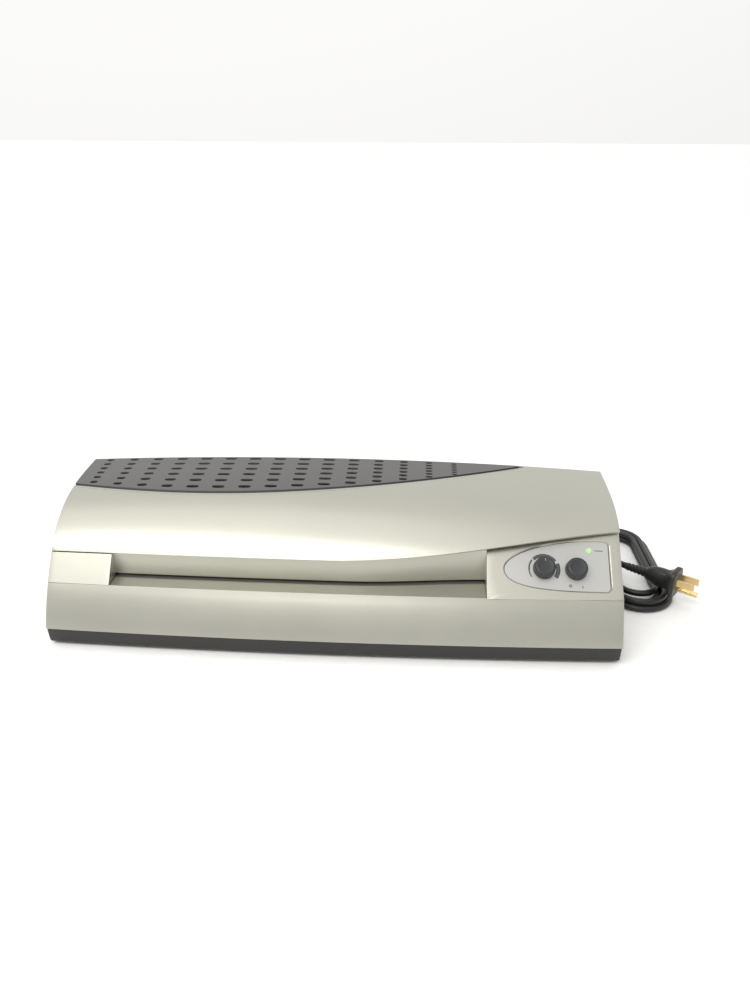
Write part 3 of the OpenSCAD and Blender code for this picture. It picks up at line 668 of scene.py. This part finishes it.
def plug_body():
    """A moulded grip: a flat-sided flange, a waist, and a ribbed relief at the tail."""
    sections = [
        (0, 11.4, 12.6), (0.8, 11.8, 13), (4.2, 11.8, 13), (5, 11.2, 12.4), (6.5, 9.6, 10.4),
        (10, 8.4, 9.4), (16, 8, 9.6), (22, 7.6, 9.2), (27, 6.8, 7.6), (30, 5.2, 5.4), (31, 4.5, 4.5),
    ]
    for i in range(5):
        a = 31.5 + i * 3.7
        r = 4.6 - 0.2 * i
        rib = [(a, r - 0.7), (a + 0.5, r), (a + 2.6, r - 0.1), (a + 3.1, r - 0.8)]
        sections += [(back, half, half) for back, half in rib]
    sections += [(50.6, 3.5, 3.5), (51, 3.0, 3.0)]
    rows = []
    for back, half_y, half_z in sections:
        squareness = 2 + 2.2 * clamp01((9 - back) / 4)
        row = []
        for a in spread(0, 2 * math.pi, 56)[:-1]:
            c, s = math.cos(a), math.sin(a)
            size = (abs(c) ** squareness + abs(s) ** squareness) ** (-1 / squareness)
            row.append(Vector((-back, half_y * c * size, half_z * s * size)))
        rows.append(row)
    sheet = Sheet().grid(rows, closed=True).fan(rows[0], Vector((0, 0, 0)))
    piece = put("plug_grip", on_plug(sheet), "housing", "plug_rubber", (298, 29, 24))
    soften(piece, 0.3, 35, 2)
    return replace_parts(piece, "plug_body")


relief = strain_relief()
grip = plug_body()
soften(NODES["plug_blades"], 0.3, 40, 2)


# ---------------------------------------------------------------- floor and light

FLOOR_REACH = 20000


def floor():
    far = spread(-FLOOR_REACH, FLOOR_REACH, 20)
    sheet = Sheet().grid([[Vector((x, y, 0)) for x in far] for y in far])
    mesh = bpy.data.meshes.new("floor")
    mesh.from_pydata([tuple(p * MM) for p in sheet.points], [], sheet.faces)
    piece = bpy.data.objects.new("floor", mesh)
    bpy.context.scene.collection.objects.link(piece)
    material, tree, shader = new_material("floor")
    cloth = noise(tree, place(tree), 90, 4, 0.6)
    pale = [(0.3, (0.93, 0.93, 0.92)), (0.7, (0.97, 0.97, 0.96))]
    tree.links.new(ramp(tree, cloth, pale), shader.inputs["Base Color"])
    shader.inputs["Roughness"].default_value = 0.9
    bump(tree, shader, cloth, 0.1, 0.6)
    mesh.materials.append(material)


def studio_sky():
    """An even pale surround that is dimmer towards the front, where the room is."""
    world = bpy.data.worlds.new("studio")
    world.use_nodes = True
    tree = world.node_tree
    background = tree.nodes["Background"]
    background.inputs["Color"].default_value = (1.0, 0.995, 0.985, 1)
    side = tree.nodes.new("ShaderNodeVectorMath")
    side.operation = "DOT_PRODUCT"
    tree.links.new(tree.nodes.new("ShaderNodeTexCoord").outputs["Generated"], side.inputs[0])
    side.inputs[1].default_value = Vector(BRIGHT_SIDE).normalized()
    strength = tree.nodes.new("ShaderNodeMapRange")
    for socket, value in (("From Min", -1), ("From Max", 1), ("To Min", DIM_SKY), ("To Max", BRIGHT_SKY)):
        strength.inputs[socket].default_value = value
    tree.links.new(side.outputs["Value"], strength.inputs["Value"])
    tree.links.new(strength.outputs["Result"], background.inputs["Strength"])
    bpy.context.scene.world = world


def sun_light(name, direction, energy, spread_angle):
    data = bpy.data.lights.new(name, "SUN")
    data.energy = energy
    data.angle = math.radians(spread_angle)
    light = bpy.data.objects.new(name, data)
    bpy.context.scene.collection.objects.link(light)
    light.rotation_euler = Vector(direction).to_track_quat("-Z", "Y").to_euler()


def area_light(name, at, towards, size, energy, colour):
    data = bpy.data.lights.new(name, "AREA")
    data.shape = "RECTANGLE"
    data.size, data.size_y = size
    data.energy = energy
    data.color = colour
    light = bpy.data.objects.new(name, data)
    bpy.context.scene.collection.objects.link(light)
    light.location = at
    light.rotation_euler = (Vector(towards) - Vector(at)).to_track_quat("-Z", "Y").to_euler()


BRIGHT_SIDE = (-0.2, 0.6, 0.8)
DIM_SKY, BRIGHT_SKY = 0.48, 1.06
floor()
studio_sky()
bpy.context.scene.view_settings.view_transform = "Standard"
area_light("key", (-0.46, -0.88, 1.22), (-0.06, -0.05, 0.07), (1.25, 0.42), 9, (1, 0.985, 0.96))
sun_light("fill", (0.35, 0.25, -0.9), 0.55, 60)


# ---------------------------------------------------------------- upper cover

GRILLE_BACK_Y = TOP_BACK[0]
GRILLE_TIP_X = ARC_X + math.sqrt(ARC_R ** 2 - (ARC_R - GRILLE_BACK_Y) ** 2)
FRONT_STEPS, LEDGE_STEPS = 44, 4
BACK_ROUND = 12
HOLE_FIRST_ROW = FRONT_STEPS + 2
HOLE_MARGIN_X, HOLE_MIN_DEPTH = 5, 12


def grille_front(x):
    return min(arc_y(x), GRILLE_BACK_Y)


def cover_stations():
    left = spread(-HALF_W, GRILLE_TIP_X, 84)
    return left + spread(GRILLE_TIP_X, HALF_W, 18)[1:]


def cover_outline(x):
    """The cover's outer line at station x, from the front seam over the top to the back seam."""
    edge = grille_front(x)
    depth = LEDGE_DEPTH if GRILLE_BACK_Y - edge > 0.01 else 0
    front_ledge = min(5, 0.3 * (GRILLE_BACK_Y - edge))
    back_ledge = min(1.8, 0.3 * (GRILLE_BACK_Y - edge))
    first = front_seam_mark(x)
    last = front_mark_at_y(x, edge)
    points = [front_at(x, s) for s in spread(first, last, FRONT_STEPS)]
    points.append(top_point(x, edge, depth))
    ledge = spread(edge + front_ledge, GRILLE_BACK_Y - back_ledge, LEDGE_STEPS)
    points += [top_point(x, y, depth) for y in ledge]
    points.append(top_point(x, GRILLE_BACK_Y, depth))
    points += [back_at(x, s) for s in spread(0, BACK_ROUND, 8)]
    points += [back_at(x, s) for s in spread(BACK_ROUND, back_seam_mark(x), 16)[1:]]
    return points


def upper_cover():
    """The top shell, with a ledge round the opening that the grille lies in."""
    stations = cover_stations()
    outlines = [cover_outline(x) for x in stations]

    def keep(i, j):
        deep = GRILLE_BACK_Y - grille_front(stations[i + 1]) > HOLE_MIN_DEPTH
        inside = stations[i] > -HALF_W + HOLE_MARGIN_X and deep
        return not (inside and HOLE_FIRST_ROW <= j < HOLE_FIRST_ROW + LEDGE_STEPS)

    sheet = Sheet().grid(outlines, keep)
    for x, outline in ((-HALF_W, outlines[0]), (HALF_W, outlines[-1])):
        rows = []
        for t in spread(0, 1, 10):
            rows.append([Vector((x, p.y, mix(p.z, min(p.z, seam_z(x, p.y)), t))) for p in outline])
        sheet.grid(rows)
    piece = put("upper_cover_shell", sheet, "housing", "silver_shell", (0, 20, 60))

    corner_edges(piece, END_FILLET)
    thicken(piece, WALL)
    soften(piece, 0.45)
    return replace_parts(piece, "upper_cover")


def corner_edges(piece, width, share=lambda a, b: 1.0, angle=35, segments=5):
    """Rounds the edges where two faces of the sheet meet at more than the angle."""
    mesh = piece.data
    work = bmesh.new()
    work.from_mesh(mesh)
    sharp = {}
    for edge in work.edges:
        if len(edge.link_faces) == 2 and edge.calc_face_angle(0) > math.radians(angle):
            a, b = (v.co / MM for v in edge.verts)
            sharp[edge.index] = share(a, b)
    work.free()
    weights = mesh.attributes.new("bevel_weight_edge", "FLOAT", "EDGE")
    for index, value in sharp.items():
        weights.data[index].value = value
    rounding = piece.modifiers.new("corners", "BEVEL")
    rounding.limit_method = "WEIGHT"
    rounding.width = width * MM
    rounding.segments = segments
    rounding.use_clamp_overlap = True


upper_cover()


# ---------------------------------------------------------------- vent grille

VENT_COLUMNS, VENT_ROWS, VENT_PITCH, VENT_FIRST_X, VENT_FIRST_Y = 15, 6, 23.8, -228, 66
VENT_LAST_X = VENT_FIRST_X + VENT_PITCH * (VENT_COLUMNS - 0.5)
VENT_WIDTH = 4.4
GRILLE_T = 1.5
GRILLE_GAP = 2.1
RIM_DROP = 1.1
CELL_SIDE = 6


def vent_row_y(x, row):
    last = arc_y(x) + 0.13 * (70 - arc_y(x))
    return mix(VENT_FIRST_Y, last, row / (VENT_ROWS - 1))


def vent_edge_y(x, line):
    """The grid line between two rows of holes; the first and last lines are the grille's own edges."""
    if line == 0:
        return GRILLE_BACK_Y - 0.3
    if line == VENT_ROWS:
        return arc_y(x) + GRILLE_GAP
    if x <= VENT_LAST_X:
        return vent_row_y(x, line - 0.5)
    near, far = arc_y(VENT_LAST_X) + GRILLE_GAP, GRILLE_BACK_Y - 0.3
    share = (vent_row_y(VENT_LAST_X, line - 0.5) - far) / (near - far)
    return mix(far, arc_y(x) + GRILLE_GAP, share)


def vent_length(column):
    return 11.5 - 1.1 * max(0, 4 - column) - 1.25 * max(0, column - 9)


def rim_point(x, back, up):
    return top_point(x, arc_y(x) + back) + Vector((0, 0, up))


def grille_cell(sheet, x0, x1, line, hole=None):
    """One cell of the grille with an oval hole, or a plain patch."""
    side = CELL_SIDE

    def lift(x, y):
        return top_point(x, y) + Vector((0, 0, GRILLE_PROUD))

    def frame_point(u, v):
        x = mix(x0, x1, u)
        return x, mix(vent_edge_y(x, line), vent_edge_y(x, line + 1), v)

    if hole is None:
        rows = [[lift(*frame_point(u, v)) for u in spread(0, 1, side)] for v in spread(0, 1, side)]
        sheet.grid(rows)
        return
    border = [frame_point(u, 0) for u in spread(0, 1, side)[:-1]]
    border += [frame_point(1, v) for v in spread(0, 1, side)[:-1]]
    border += [frame_point(u, 1) for u in spread(1, 0, side)[:-1]]
    border += [frame_point(0, v) for v in spread(1, 0, side)[:-1]]
    cx, cy, length, width = hole
    straight = (length - width) / 2
    oval = []
    for x, y in border:
        a = math.atan2((y - cy) / (abs(vent_edge_y(x0, line) - vent_edge_y(x0, line + 1))),
                       (x - cx) / (x1 - x0))
        c, s = math.cos(a), math.sin(a)
        oval.append((cx + straight * max(-1, min(1, 1.6 * c)) + width / 2 * c, cy + width / 2 * s))
    rings = [[lift(mix(p[0], q[0], t), mix(p[1], q[1], t)) for p, q in zip(oval, border)]
             for t in (0, 0.2, 0.5, 1)]
    sheet.grid(rings, closed=True)


def vent_grille():
    sheet = Sheet()
    edges = [-HALF_W + 0.3] + [VENT_FIRST_X + VENT_PITCH * (i + 0.5) for i in range(VENT_COLUMNS)]
    for column in range(VENT_COLUMNS):
        x = VENT_FIRST_X + VENT_PITCH * column
        for line in range(VENT_ROWS):
            width = min(VENT_WIDTH, 0.62 * abs(vent_row_y(x, 1) - vent_row_y(x, 0)))
            hole = (x, vent_row_y(x, line), max(width, vent_length(column)), width)
            grille_cell(sheet, edges[column], edges[column + 1], line, hole)
    stops = spread(VENT_LAST_X, GRILLE_TIP_X - 7, 8)
    for a, b in zip(stops, stops[1:]):
        for line in range(VENT_ROWS):
            grille_cell(sheet, a, b, line)
    edges += stops[1:]
    rim = [x for a, b in zip(edges, edges[1:]) for x in spread(a, b, CELL_SIDE)[:-1]] + [edges[-1]]
    # The groove along the grille's front edge gets a strip of black plastic, darker than the grille: painted
    # shade, standing in for the shadow down in the groove.
    painted_shade_groove = Sheet().grid([[rim_point(x, back, up) for x in rim] for back, up in (
        (GRILLE_GAP - 0.1, GRILLE_PROUD - 0.25), (GRILLE_GAP - 0.2, -RIM_DROP), (0.25, -RIM_DROP),
    )])
    piece = put("vent_grille_inlay", sheet, "housing", "grille_plastic", (0, 30, 0))
    thicken(piece, GRILLE_T)
    soften(piece, 0.3, 40, 2)
    # Black material on the groove strip: painted shade.
    line = put("vent_grille_painted_shade_groove", painted_shade_groove, "housing", "black_plastic", (0, 30, 0))
    thicken(line, 1)
    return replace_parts(piece, "vent_grille")


vent_grille()


# ---------------------------------------------------------------- lower cover

WALL_STEPS = 22
BACK_SEAM_Y = 84.8
SLOT_SIDE = 3


def front_wall_at(x, s):
    return bowed(x, *FRONT_WALL.at(s))


def lower_cover():
    """The lower shell, open at the back behind the recess, where the pouch leaves."""
    sheet = Sheet()
    marks = spread(0, FRONT_WALL.length, WALL_STEPS)
    stations = sorted(spread(-HALF_W, HALF_W, 70) + [RECESS_X0 - SLOT_SIDE, RECESS_X1 + SLOT_SIDE])
    sheet.grid([[front_wall_at(x, s) for s in marks] for x in stations])

    def back_y(z):
        s = solve(lambda s: z - bowed(HALF_W, *BACK.at(s)).z, 0, BACK.length)
        return BACK.at(s)[0]

    heights = [front_wall_at(HALF_W, s).z for s in marks]
    heights += spread(LIP[1], EXIT_Z - SEAM_GAP, 10)[1:]
    back_rows = [[Vector((x, back_y(z), z)) for z in heights] for x in stations]

    def keep_back(i, j):
        right_of = stations[i] >= RECESS_X0 - SLOT_SIDE - 0.01
        left_of = stations[i + 1] <= RECESS_X1 + SLOT_SIDE + 0.01
        return not (right_of and left_of and heights[j] > SLOT_SILL_Z)

    sheet.grid(back_rows, keep_back)
    for x in (-HALF_W, HALF_W):
        rows = []
        for s in marks:
            front = front_wall_at(x, s)
            rear = back_y(front.z)
            forward = spread(front.y, ZONE_BACK_Y, 8)
            rows.append([Vector((x, y, front.z)) for y in forward + spread(ZONE_BACK_Y, rear, 16)[1:]])
        sheet.grid(rows)
        rows = []
        for t in spread(0, 1, 10):
            row = []
            for u in spread(0, 1, 16):
                top = seam_z(x, mix(ZONE_BACK_Y, BACK_SEAM_Y, u)) - SEAM_GAP
                z = mix(LIP[1], top, t)
                row.append(Vector((x, mix(ZONE_BACK_Y, back_y(z), u), z)))
            rows.append(row)
        sheet.grid(rows)
    piece = put("lower_cover_shell", sheet, "housing", "silver_shell", (0, 0, 40), GRID_MERGE)
    corner_edges(piece, END_FILLET)
    thicken(piece, WALL)
    soften(piece, 0.7)
    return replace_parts(piece, "lower_cover")


lower_cover()


# ---------------------------------------------------------------- feed fascia

LEAF_CENTRE = (6, 0.5)
LEAF_CORNER_X, LEAF_HIGH_Y, LEAF_LOW_Y = 43, 19.6, -17.4
BOTTOM_STEPS, RIGHT_STEPS, TOP_STEPS, LEFT_STEPS = 16, 12, 16, 8


def leaf(grow):
    """Outline of the control plate in the panel's own frame: round at the left, square at the right."""
    points = bezier((-42 - grow, -4), (-42 - grow, 9 + grow), (-5, 23.8 + grow), (40, 23.8 + grow), 30)
    corner = 4 + grow

    def round_corner(y, start, end):
        for a in range(start, end, -15):
            c, s = math.cos(math.radians(a)), math.sin(math.radians(a))
            points.append((LEAF_CORNER_X + corner * c, y + corner * s))

    round_corner(LEAF_HIGH_Y, 75, -1)
    points += [(LEAF_CORNER_X + corner, y) for y in spread(LEAF_HIGH_Y, LEAF_LOW_Y, 10)[1:-1]]
    round_corner(LEAF_LOW_Y, 0, -91)
    tail = ((42, -21.4 - grow), (2, -21.8 - grow), (-42 - grow, -22 - grow), (-42 - grow, -4.2))
    return points + bezier(*tail, 30)[:-1]


def panel_y(x, z):
    """Where the control panel's plane stands at this x and z."""
    return PANEL_AT.y + (PANEL_N.x * (x - PANEL_AT.x) + PANEL_N.z * (z - PANEL_AT.z)) / -PANEL_N.y


def panel_seam(x):
    z = seam_front(x)
    for _ in range(30):
        z = seam_z(x, panel_y(x, z)) - SEAM_GAP
    return Vector((x, panel_y(x, z), z))


def block_bottom():
    return LIP[1] + 0.25


def panel_face(sheet):
    """The plane round the leaf-shaped recess, and the recess's sloped wall. Returns the outer border."""
    low = block_bottom()
    outer = [Vector((x, panel_y(x, low), low)) for x in spread(RECESS_X1, HALF_W, BOTTOM_STEPS)[:-1]]
    right_low = Vector((HALF_W, panel_y(HALF_W, low), low))
    left_low = Vector((RECESS_X1, panel_y(RECESS_X1, low), low))
    outer += [right_low.lerp(panel_seam(HALF_W), t) for t in spread(0, 1, RIGHT_STEPS)[:-1]]
    outer += [panel_seam(x) for x in spread(HALF_W, RECESS_X1, TOP_STEPS)[:-1]]
    outer += [panel_seam(RECESS_X1).lerp(left_low, t) for t in spread(0, 1, LEFT_STEPS)[:-1]]
    flat = [((p - PANEL_AT).dot(PANEL_X), (p - PANEL_AT).dot(PANEL_Y)) for p in outer]
    centre = LEAF_CENTRE

    def angle(p):
        return math.atan2(p[1] - centre[1], p[0] - centre[0]) % (2 * math.pi)

    def by_angle(points, a):
        """The point of a closed outline in the direction a from the centre."""
        ordered = sorted(points, key=angle)
        marks = [angle(p) for p in ordered]
        for i in range(len(ordered)):
            p, q = ordered[i], ordered[(i + 1) % len(ordered)]
            start, end = marks[i], marks[(i + 1) % len(ordered)]
            width = (end - start) % (2 * math.pi)
            step = (a - start) % (2 * math.pi)
            if step <= width:
                dx, dy = math.cos(a), math.sin(a)
                ex, ey = q[0] - p[0], q[1] - p[1]
                cross = dx * ey - dy * ex
                if abs(cross) < 1e-9:
                    return p
                r = ((p[0] - centre[0]) * ey - (p[1] - centre[1]) * ex) / cross
                return centre[0] + r * dx, centre[1] + r * dy
        return ordered[0]

    angles = sorted({round(angle(p), 6) for p in leaf(1) + flat})
    kept = [angles[0]]
    corners = [0, BOTTOM_STEPS, BOTTOM_STEPS + RIGHT_STEPS, BOTTOM_STEPS + RIGHT_STEPS + TOP_STEPS]
    must = {round(angle(flat[i]), 6) for i in corners}
    for a in angles[1:]:
        if a - kept[-1] > 0.02:
            kept.append(a)
        elif a in must:
            kept[-1] = a
    border = [by_angle(flat, a) for a in kept]
    rim = [by_angle(leaf(1.1), a) for a in kept]
    floor_line = [by_angle(leaf(0.1), a) for a in kept]

    def up(p, z):
        return PANEL_AT + PANEL_X * p[0] + PANEL_Y * p[1] + PANEL_N * z

    rows = []
    for t in (0, 0.4, 0.8, 1):
        rows.append([up((mix(p[0], q[0], t), mix(p[1], q[1], t)), 0) for p, q in zip(border, rim)])
    rows.append([up(p, -PLATE_RECESS) for p in floor_line])
    rows.append([up(p, -PLATE_RECESS - 1.2) for p in floor_line])
    sheet.grid(rows, closed=True)
    return rows[0]


def feed_fascia():
    """The blocks at both ends of the recess and the wall above the slot, as one shell."""
    sheet = Sheet()
    low = block_bottom()

    # The left block: its face, then its two ends
    rows = []
    for x in spread(-HALF_W, RECESS_X0, 12):
        start = solve(lambda s: front_at(x, s).z - low, 0, 20)
        rows.append([front_at(x, s) for s in spread(start, front_seam_mark(x, SEAM_GAP), 12)])
    sheet.grid(rows)
    for x, back in ((-HALF_W, ZONE_BACK_Y), (RECESS_X0, None)):
        face = rows[0] if back else rows[-1]
        grid_rows = []
        for p in face:
            rear = back if back else wall_point(RECESS_X0, p.z).y
            grid_rows.append([Vector((x, y, p.z)) for y in spread(p.y, rear, 8)])
        sheet.grid(grid_rows)

    # The wall above the slot
    stations = spread(RECESS_X0, RECESS_X1, 60)
    rows = []
    for x in stations:
        top = seam_z(x, wall_point(x, 75).y) - SEAM_GAP
        rows.append([wall_point(x, z) for z in spread(SLOT_TOP, top, 10)])
    sheet.grid(rows)

    # The right block: the panel and its two ends
    border = sorted(panel_face(sheet), key=lambda p: p.z)
    rows = []
    for p in border:
        if abs(p.x - RECESS_X1) < 0.01:
            rear = max(wall_point(RECESS_X1, p.z).y, p.y + 4)
            rows.append([Vector((RECESS_X1, y, p.z)) for y in spread(p.y, rear, 4)])
    sheet.grid(rows)
    rows = []
    for p in border:
        if abs(p.x - HALF_W) < 0.01:
            t = (p.z - low) / (panel_seam(HALF_W).z - low)
            line = spread(p.y, ZONE_BACK_Y, 8)
            rows.append([Vector((HALF_W, y, mix(low, seam_z(HALF_W, y) - SEAM_GAP, t))) for y in line])
    sheet.grid(rows)
    piece = put("feed_fascia_shell", sheet, "housing", "silver_shell", (0, 0, 40), GRID_MERGE)

    def share(a, b):
        """How much of the rounding an edge gets: none along the casing, least at the recess's front."""
        if abs(a.x - b.x) > 0.01:
            return 0.0
        if abs(abs(a.x) - HALF_W) < 0.1:
            return 0.6
        if a.y > -52 and b.y > -52:
            return 1.0
        return 0.28

    corner_edges(piece, 4, share, 30, 5)
    thicken(piece, 2)
    soften(piece, 0.35)
    shelf()
    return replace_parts(piece, "feed_fascia")


def wall_point(x, z):
    return Vector((x, bowed(x, slot_wall_y(x), z).y, z))


def shelf():
    """The floor in front of the slot: a small step down before the wall, rolled down at its back edge."""
    rows = []
    for x in spread(RECESS_X0 + 0.2, RECESS_X1 - 0.2, 60):
        step = slot_wall_y(x) - 3.4
        profile = [(-64.8, -1.4), (-64.8, 0), (-61, 0)] + [(y, 0) for y in spread(-58, step, 4)]
        profile += [(step + 0.5, -0.6), (mix(step, SLOT_FLOOR_Y - 2.5, 0.5), -0.6)]
        profile += [(SLOT_FLOOR_Y - 2.5, -0.6), (SLOT_FLOOR_Y - 1, -0.9)]
        profile += [(SLOT_FLOOR_Y - 0.2, -1.5), (SLOT_FLOOR_Y, -2.6)]
        level = [(bowed(x, y, CROWN_FROM_Z), SLOT_BOTTOM + drop - CROWN_FROM_Z) for y, drop in profile]
        rows.append([point + Vector((0, 0, up)) for point, up in level])
    piece = put("feed_shelf", Sheet().grid(rows), "housing", "silver_shell", (0, -45, 20))
    thicken(piece, 1.6)
    soften(piece, 0.15, 25, 2)
    return piece


feed_fascia()


# ---------------------------------------------------------------- control plate, marks and light

def flat_ring(centre, inner, outer, start, end, z, count=28):
    """A printed arc: angles run clockwise from the panel's up direction."""
    rows = []
    for radius in (inner, outer):
        rows.append([
            Vector((centre[0] + radius * math.sin(a), centre[1] + radius * math.cos(a), z))
            for a in map(math.radians, spread(start, end, count))
        ])
    return Sheet().grid(rows)


def control_plate():
    outline = leaf(-0.15)
    rows = []
    cx, cy = LEAF_CENTRE
    for share in (1, 0.97, 0.7, 0.35):
        rows.append([Vector((mix(cx, x, share), mix(cy, y, share), -PLATE_RECESS)) for x, y in outline])
    sheet = Sheet().grid(rows, closed=True).fan(rows[-1], Vector((cx, cy, -PLATE_RECESS)))
    inside = PANEL_AT - PANEL_N * 20
    piece = put("control_plate_face", moved(sheet, panel_matrix()), "housing", "label_plate", inside)
    thicken(piece, 1)
    soften(piece, 0.2, 40, 2)
    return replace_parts(piece, "control_plate")


SELECTOR_AT = (-8.5, -2.6)
POWER_AT = (18.5, -2.6)
LENS_AT = (30.4, 15.3)
PRINT_Z = -PLATE_RECESS + 0.03
OFF_MARK_AT = (13.4, -16.8)
ON_MARK_AT = (23.6, -17.5)
LIGHT_MARK_AT = (35.2, 15.3)


def printed_bar(at, widths, heights):
    x, y = at
    return Sheet().grid([[Vector((x + w, y + h, PRINT_Z)) for h in heights] for w in widths])


def printed_marks():
    """The selector's scale, generic off and on marks, and a bar beside the light."""
    marks = [
        flat_ring(SELECTOR_AT, 12.2, 13.2, -125, -98, PRINT_Z),
        flat_ring(SELECTOR_AT, 11.8, 13.2, -98, -51, PRINT_Z),
        flat_ring(SELECTOR_AT, 10.5, 13.4, -46, 54, PRINT_Z),
        flat_ring(SELECTOR_AT, 10.4, 14, 66, 127, PRINT_Z),
        flat_ring(OFF_MARK_AT, 0.6, 1.3, 0, 360, PRINT_Z),
        printed_bar(ON_MARK_AT, (-0.35, 0.35), (-1.2, 1.2)),
        printed_bar(LIGHT_MARK_AT, (0, 7), (-0.35, 0.35)),
    ]
    piece = put("panel_marks", moved(joined(*marks), panel_matrix()), "housing", "knob_plastic",
                PANEL_AT - PANEL_N * 20, ink=print_ink)
    thicken(piece, 0.03)
    return piece


def lens():
    profile = [(2.3, -2.4), (2.3, -1.0), (2.25, -0.55), (1.9, -0.2), (1.2, 0.02), (0.5, 0.1)]
    sheet = lathe(profile, 32)
    sheet.fan(sheet.points[-32:], Vector((0, 0, 0.11)))
    sheet.points = [Vector((p.x * 0.8, p.y * 0.72, p.z)) for p in sheet.points]
    piece = put("ready_light", moved(sheet, panel_matrix(*LENS_AT)), "housing", "lens",
                PANEL_AT + PANEL_X * LENS_AT[0] + PANEL_Y * LENS_AT[1] - PANEL_N * 3)
    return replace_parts(piece, "ready_lens")


control_plate()
printed_marks()
lens()


# ---------------------------------------------------------------- knobs

FLUTES, FLUTED_RINGS = 24, (4, 5)


def knob(name, body, node, at, turn, ink):
    """A round knob with a fluted side, a soft shoulder, a shallow dish on top and a pointer."""
    base = -PLATE_RECESS + 0.4
    r, h = 9.3, 8.5
    profile = [
        (3, base), (r - 0.5, base), (r, base + 0.5), (r, base + 1.6), (r - 0.35, base + 1.9),
        (r - 0.45, base + 6.6), (r - 0.8, base + 7.5), (r - 1.5, base + 8.1), (r - 2.4, base + h - 0.15),
        (r - 3, base + h - 0.3), (4, base + h - 0.55), (1.5, base + h - 0.6),
    ]
    count = 96
    sheet = lathe(profile, count)
    for i, p in enumerate(sheet.points):
        ring = i // count
        if ring in FLUTED_RINGS:
            a = math.atan2(p.y, p.x)
            cut = 0.16 * max(0.0, math.cos(FLUTES * a))
            p.x *= 1 - cut / r
            p.y *= 1 - cut / r
    sheet.fan(sheet.points[-count:], Vector((0, 0, base + h - 0.6)))
    stem = [(0.01, -12), (3, -12), (3, base + 0.2)]
    whole = joined(sheet, lathe(stem, 32))
    centre = PANEL_AT + PANEL_X * at[0] + PANEL_Y * at[1]
    matrix = panel_matrix(*at, 0, turn)
    piece = put(name, moved(whole, matrix), body, "knob_plastic", centre + PANEL_N * 3)
    soften(piece, 0.25, 35, 2)
    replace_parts(piece, node)
    top = base + h - 0.1
    tick = Sheet()
    tick.grid([[Vector((w, y, top)) for y in spread(4.4, 6.6, 3)] for w in (-0.3, 0.3)])
    pointer = put(name + "_pointer", moved(tick, matrix), body, "knob_plastic", centre, ink=ink)
    thicken(pointer, 0.5)
    soften(pointer, 0.1, 40, 2)
    return piece


knob("selector_knob_cap", "selector", "selector_knob", SELECTOR_AT, 0, pointer_ink)
knob("power_knob_cap", "power_control", "power_knob", POWER_AT, -160, dull_ink)


# ---------------------------------------------------------------- base tray and feet

def base_tray():
    """The black foot of the casing: leans in towards the bottom all round."""
    levels = [
        (BASE_TOP - 0.05, 0.8, -83.6, 89.0), (10, 0.8, -82.8, 87.2), (4.4, 0.8, -81.8, 85.3),
        (3.4, 1.2, -81.3, 84.9), (BASE_BOTTOM, 2.0, -80.4, 84.2),
    ]
    rows = []
    for z, inset, front, rear in levels:
        half = HALF_W - inset
        ring = [bowed(x, front, z) for x in spread(-half, half, 50)]
        ring += [Vector((half, y, z)) for y in spread(front, rear, 14)[1:]]
        ring += [Vector((x, rear, z)) for x in spread(half, -half, 50)[1:]]
        ring += [Vector((-half, y, z)) for y in spread(rear, front, 14)[1:-1]]
        rows.append(ring)
    for share in (0.97, 0.6, 0.2):
        rows.append([Vector((p.x * share, p.y * share, BASE_BOTTOM)) for p in rows[4]])
    sheet = Sheet().grid(rows, closed=True).fan(rows[-1], Vector((0, 0, BASE_BOTTOM)))
    piece = put("base_tray_shell", sheet, "housing", "black_plastic", (0, 0, 12))
    corner_edges(piece, 1.5, lambda a, b: 1.0 if abs(a.z - b.z) > 0.05 else 0.0, 30, 4)
    thicken(piece, WALL)
    soften(piece, 0.4)
    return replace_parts(piece, "base_tray")


FOOT_X, FOOT_Y = 225, 72


def rubber_feet():
    feet = []
    profile = [(0.01, 0.35), (2.4, 0.35), (2.8, 0), (4.8, 0), (5.4, 0.3), (5.8, 1), (6, 4.4), (0.01, 4.4)]
    for x in (-FOOT_X, FOOT_X):
        for y in (-FOOT_Y, FOOT_Y):
            feet.append(moved(lathe(profile, 40), Matrix.Translation((x, y, 0))))
    piece = put("rubber_feet_pads", joined(*feet), "housing", "black_rubber")
    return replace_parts(piece, "rubber_feet")


base_tray()
rubber_feet()
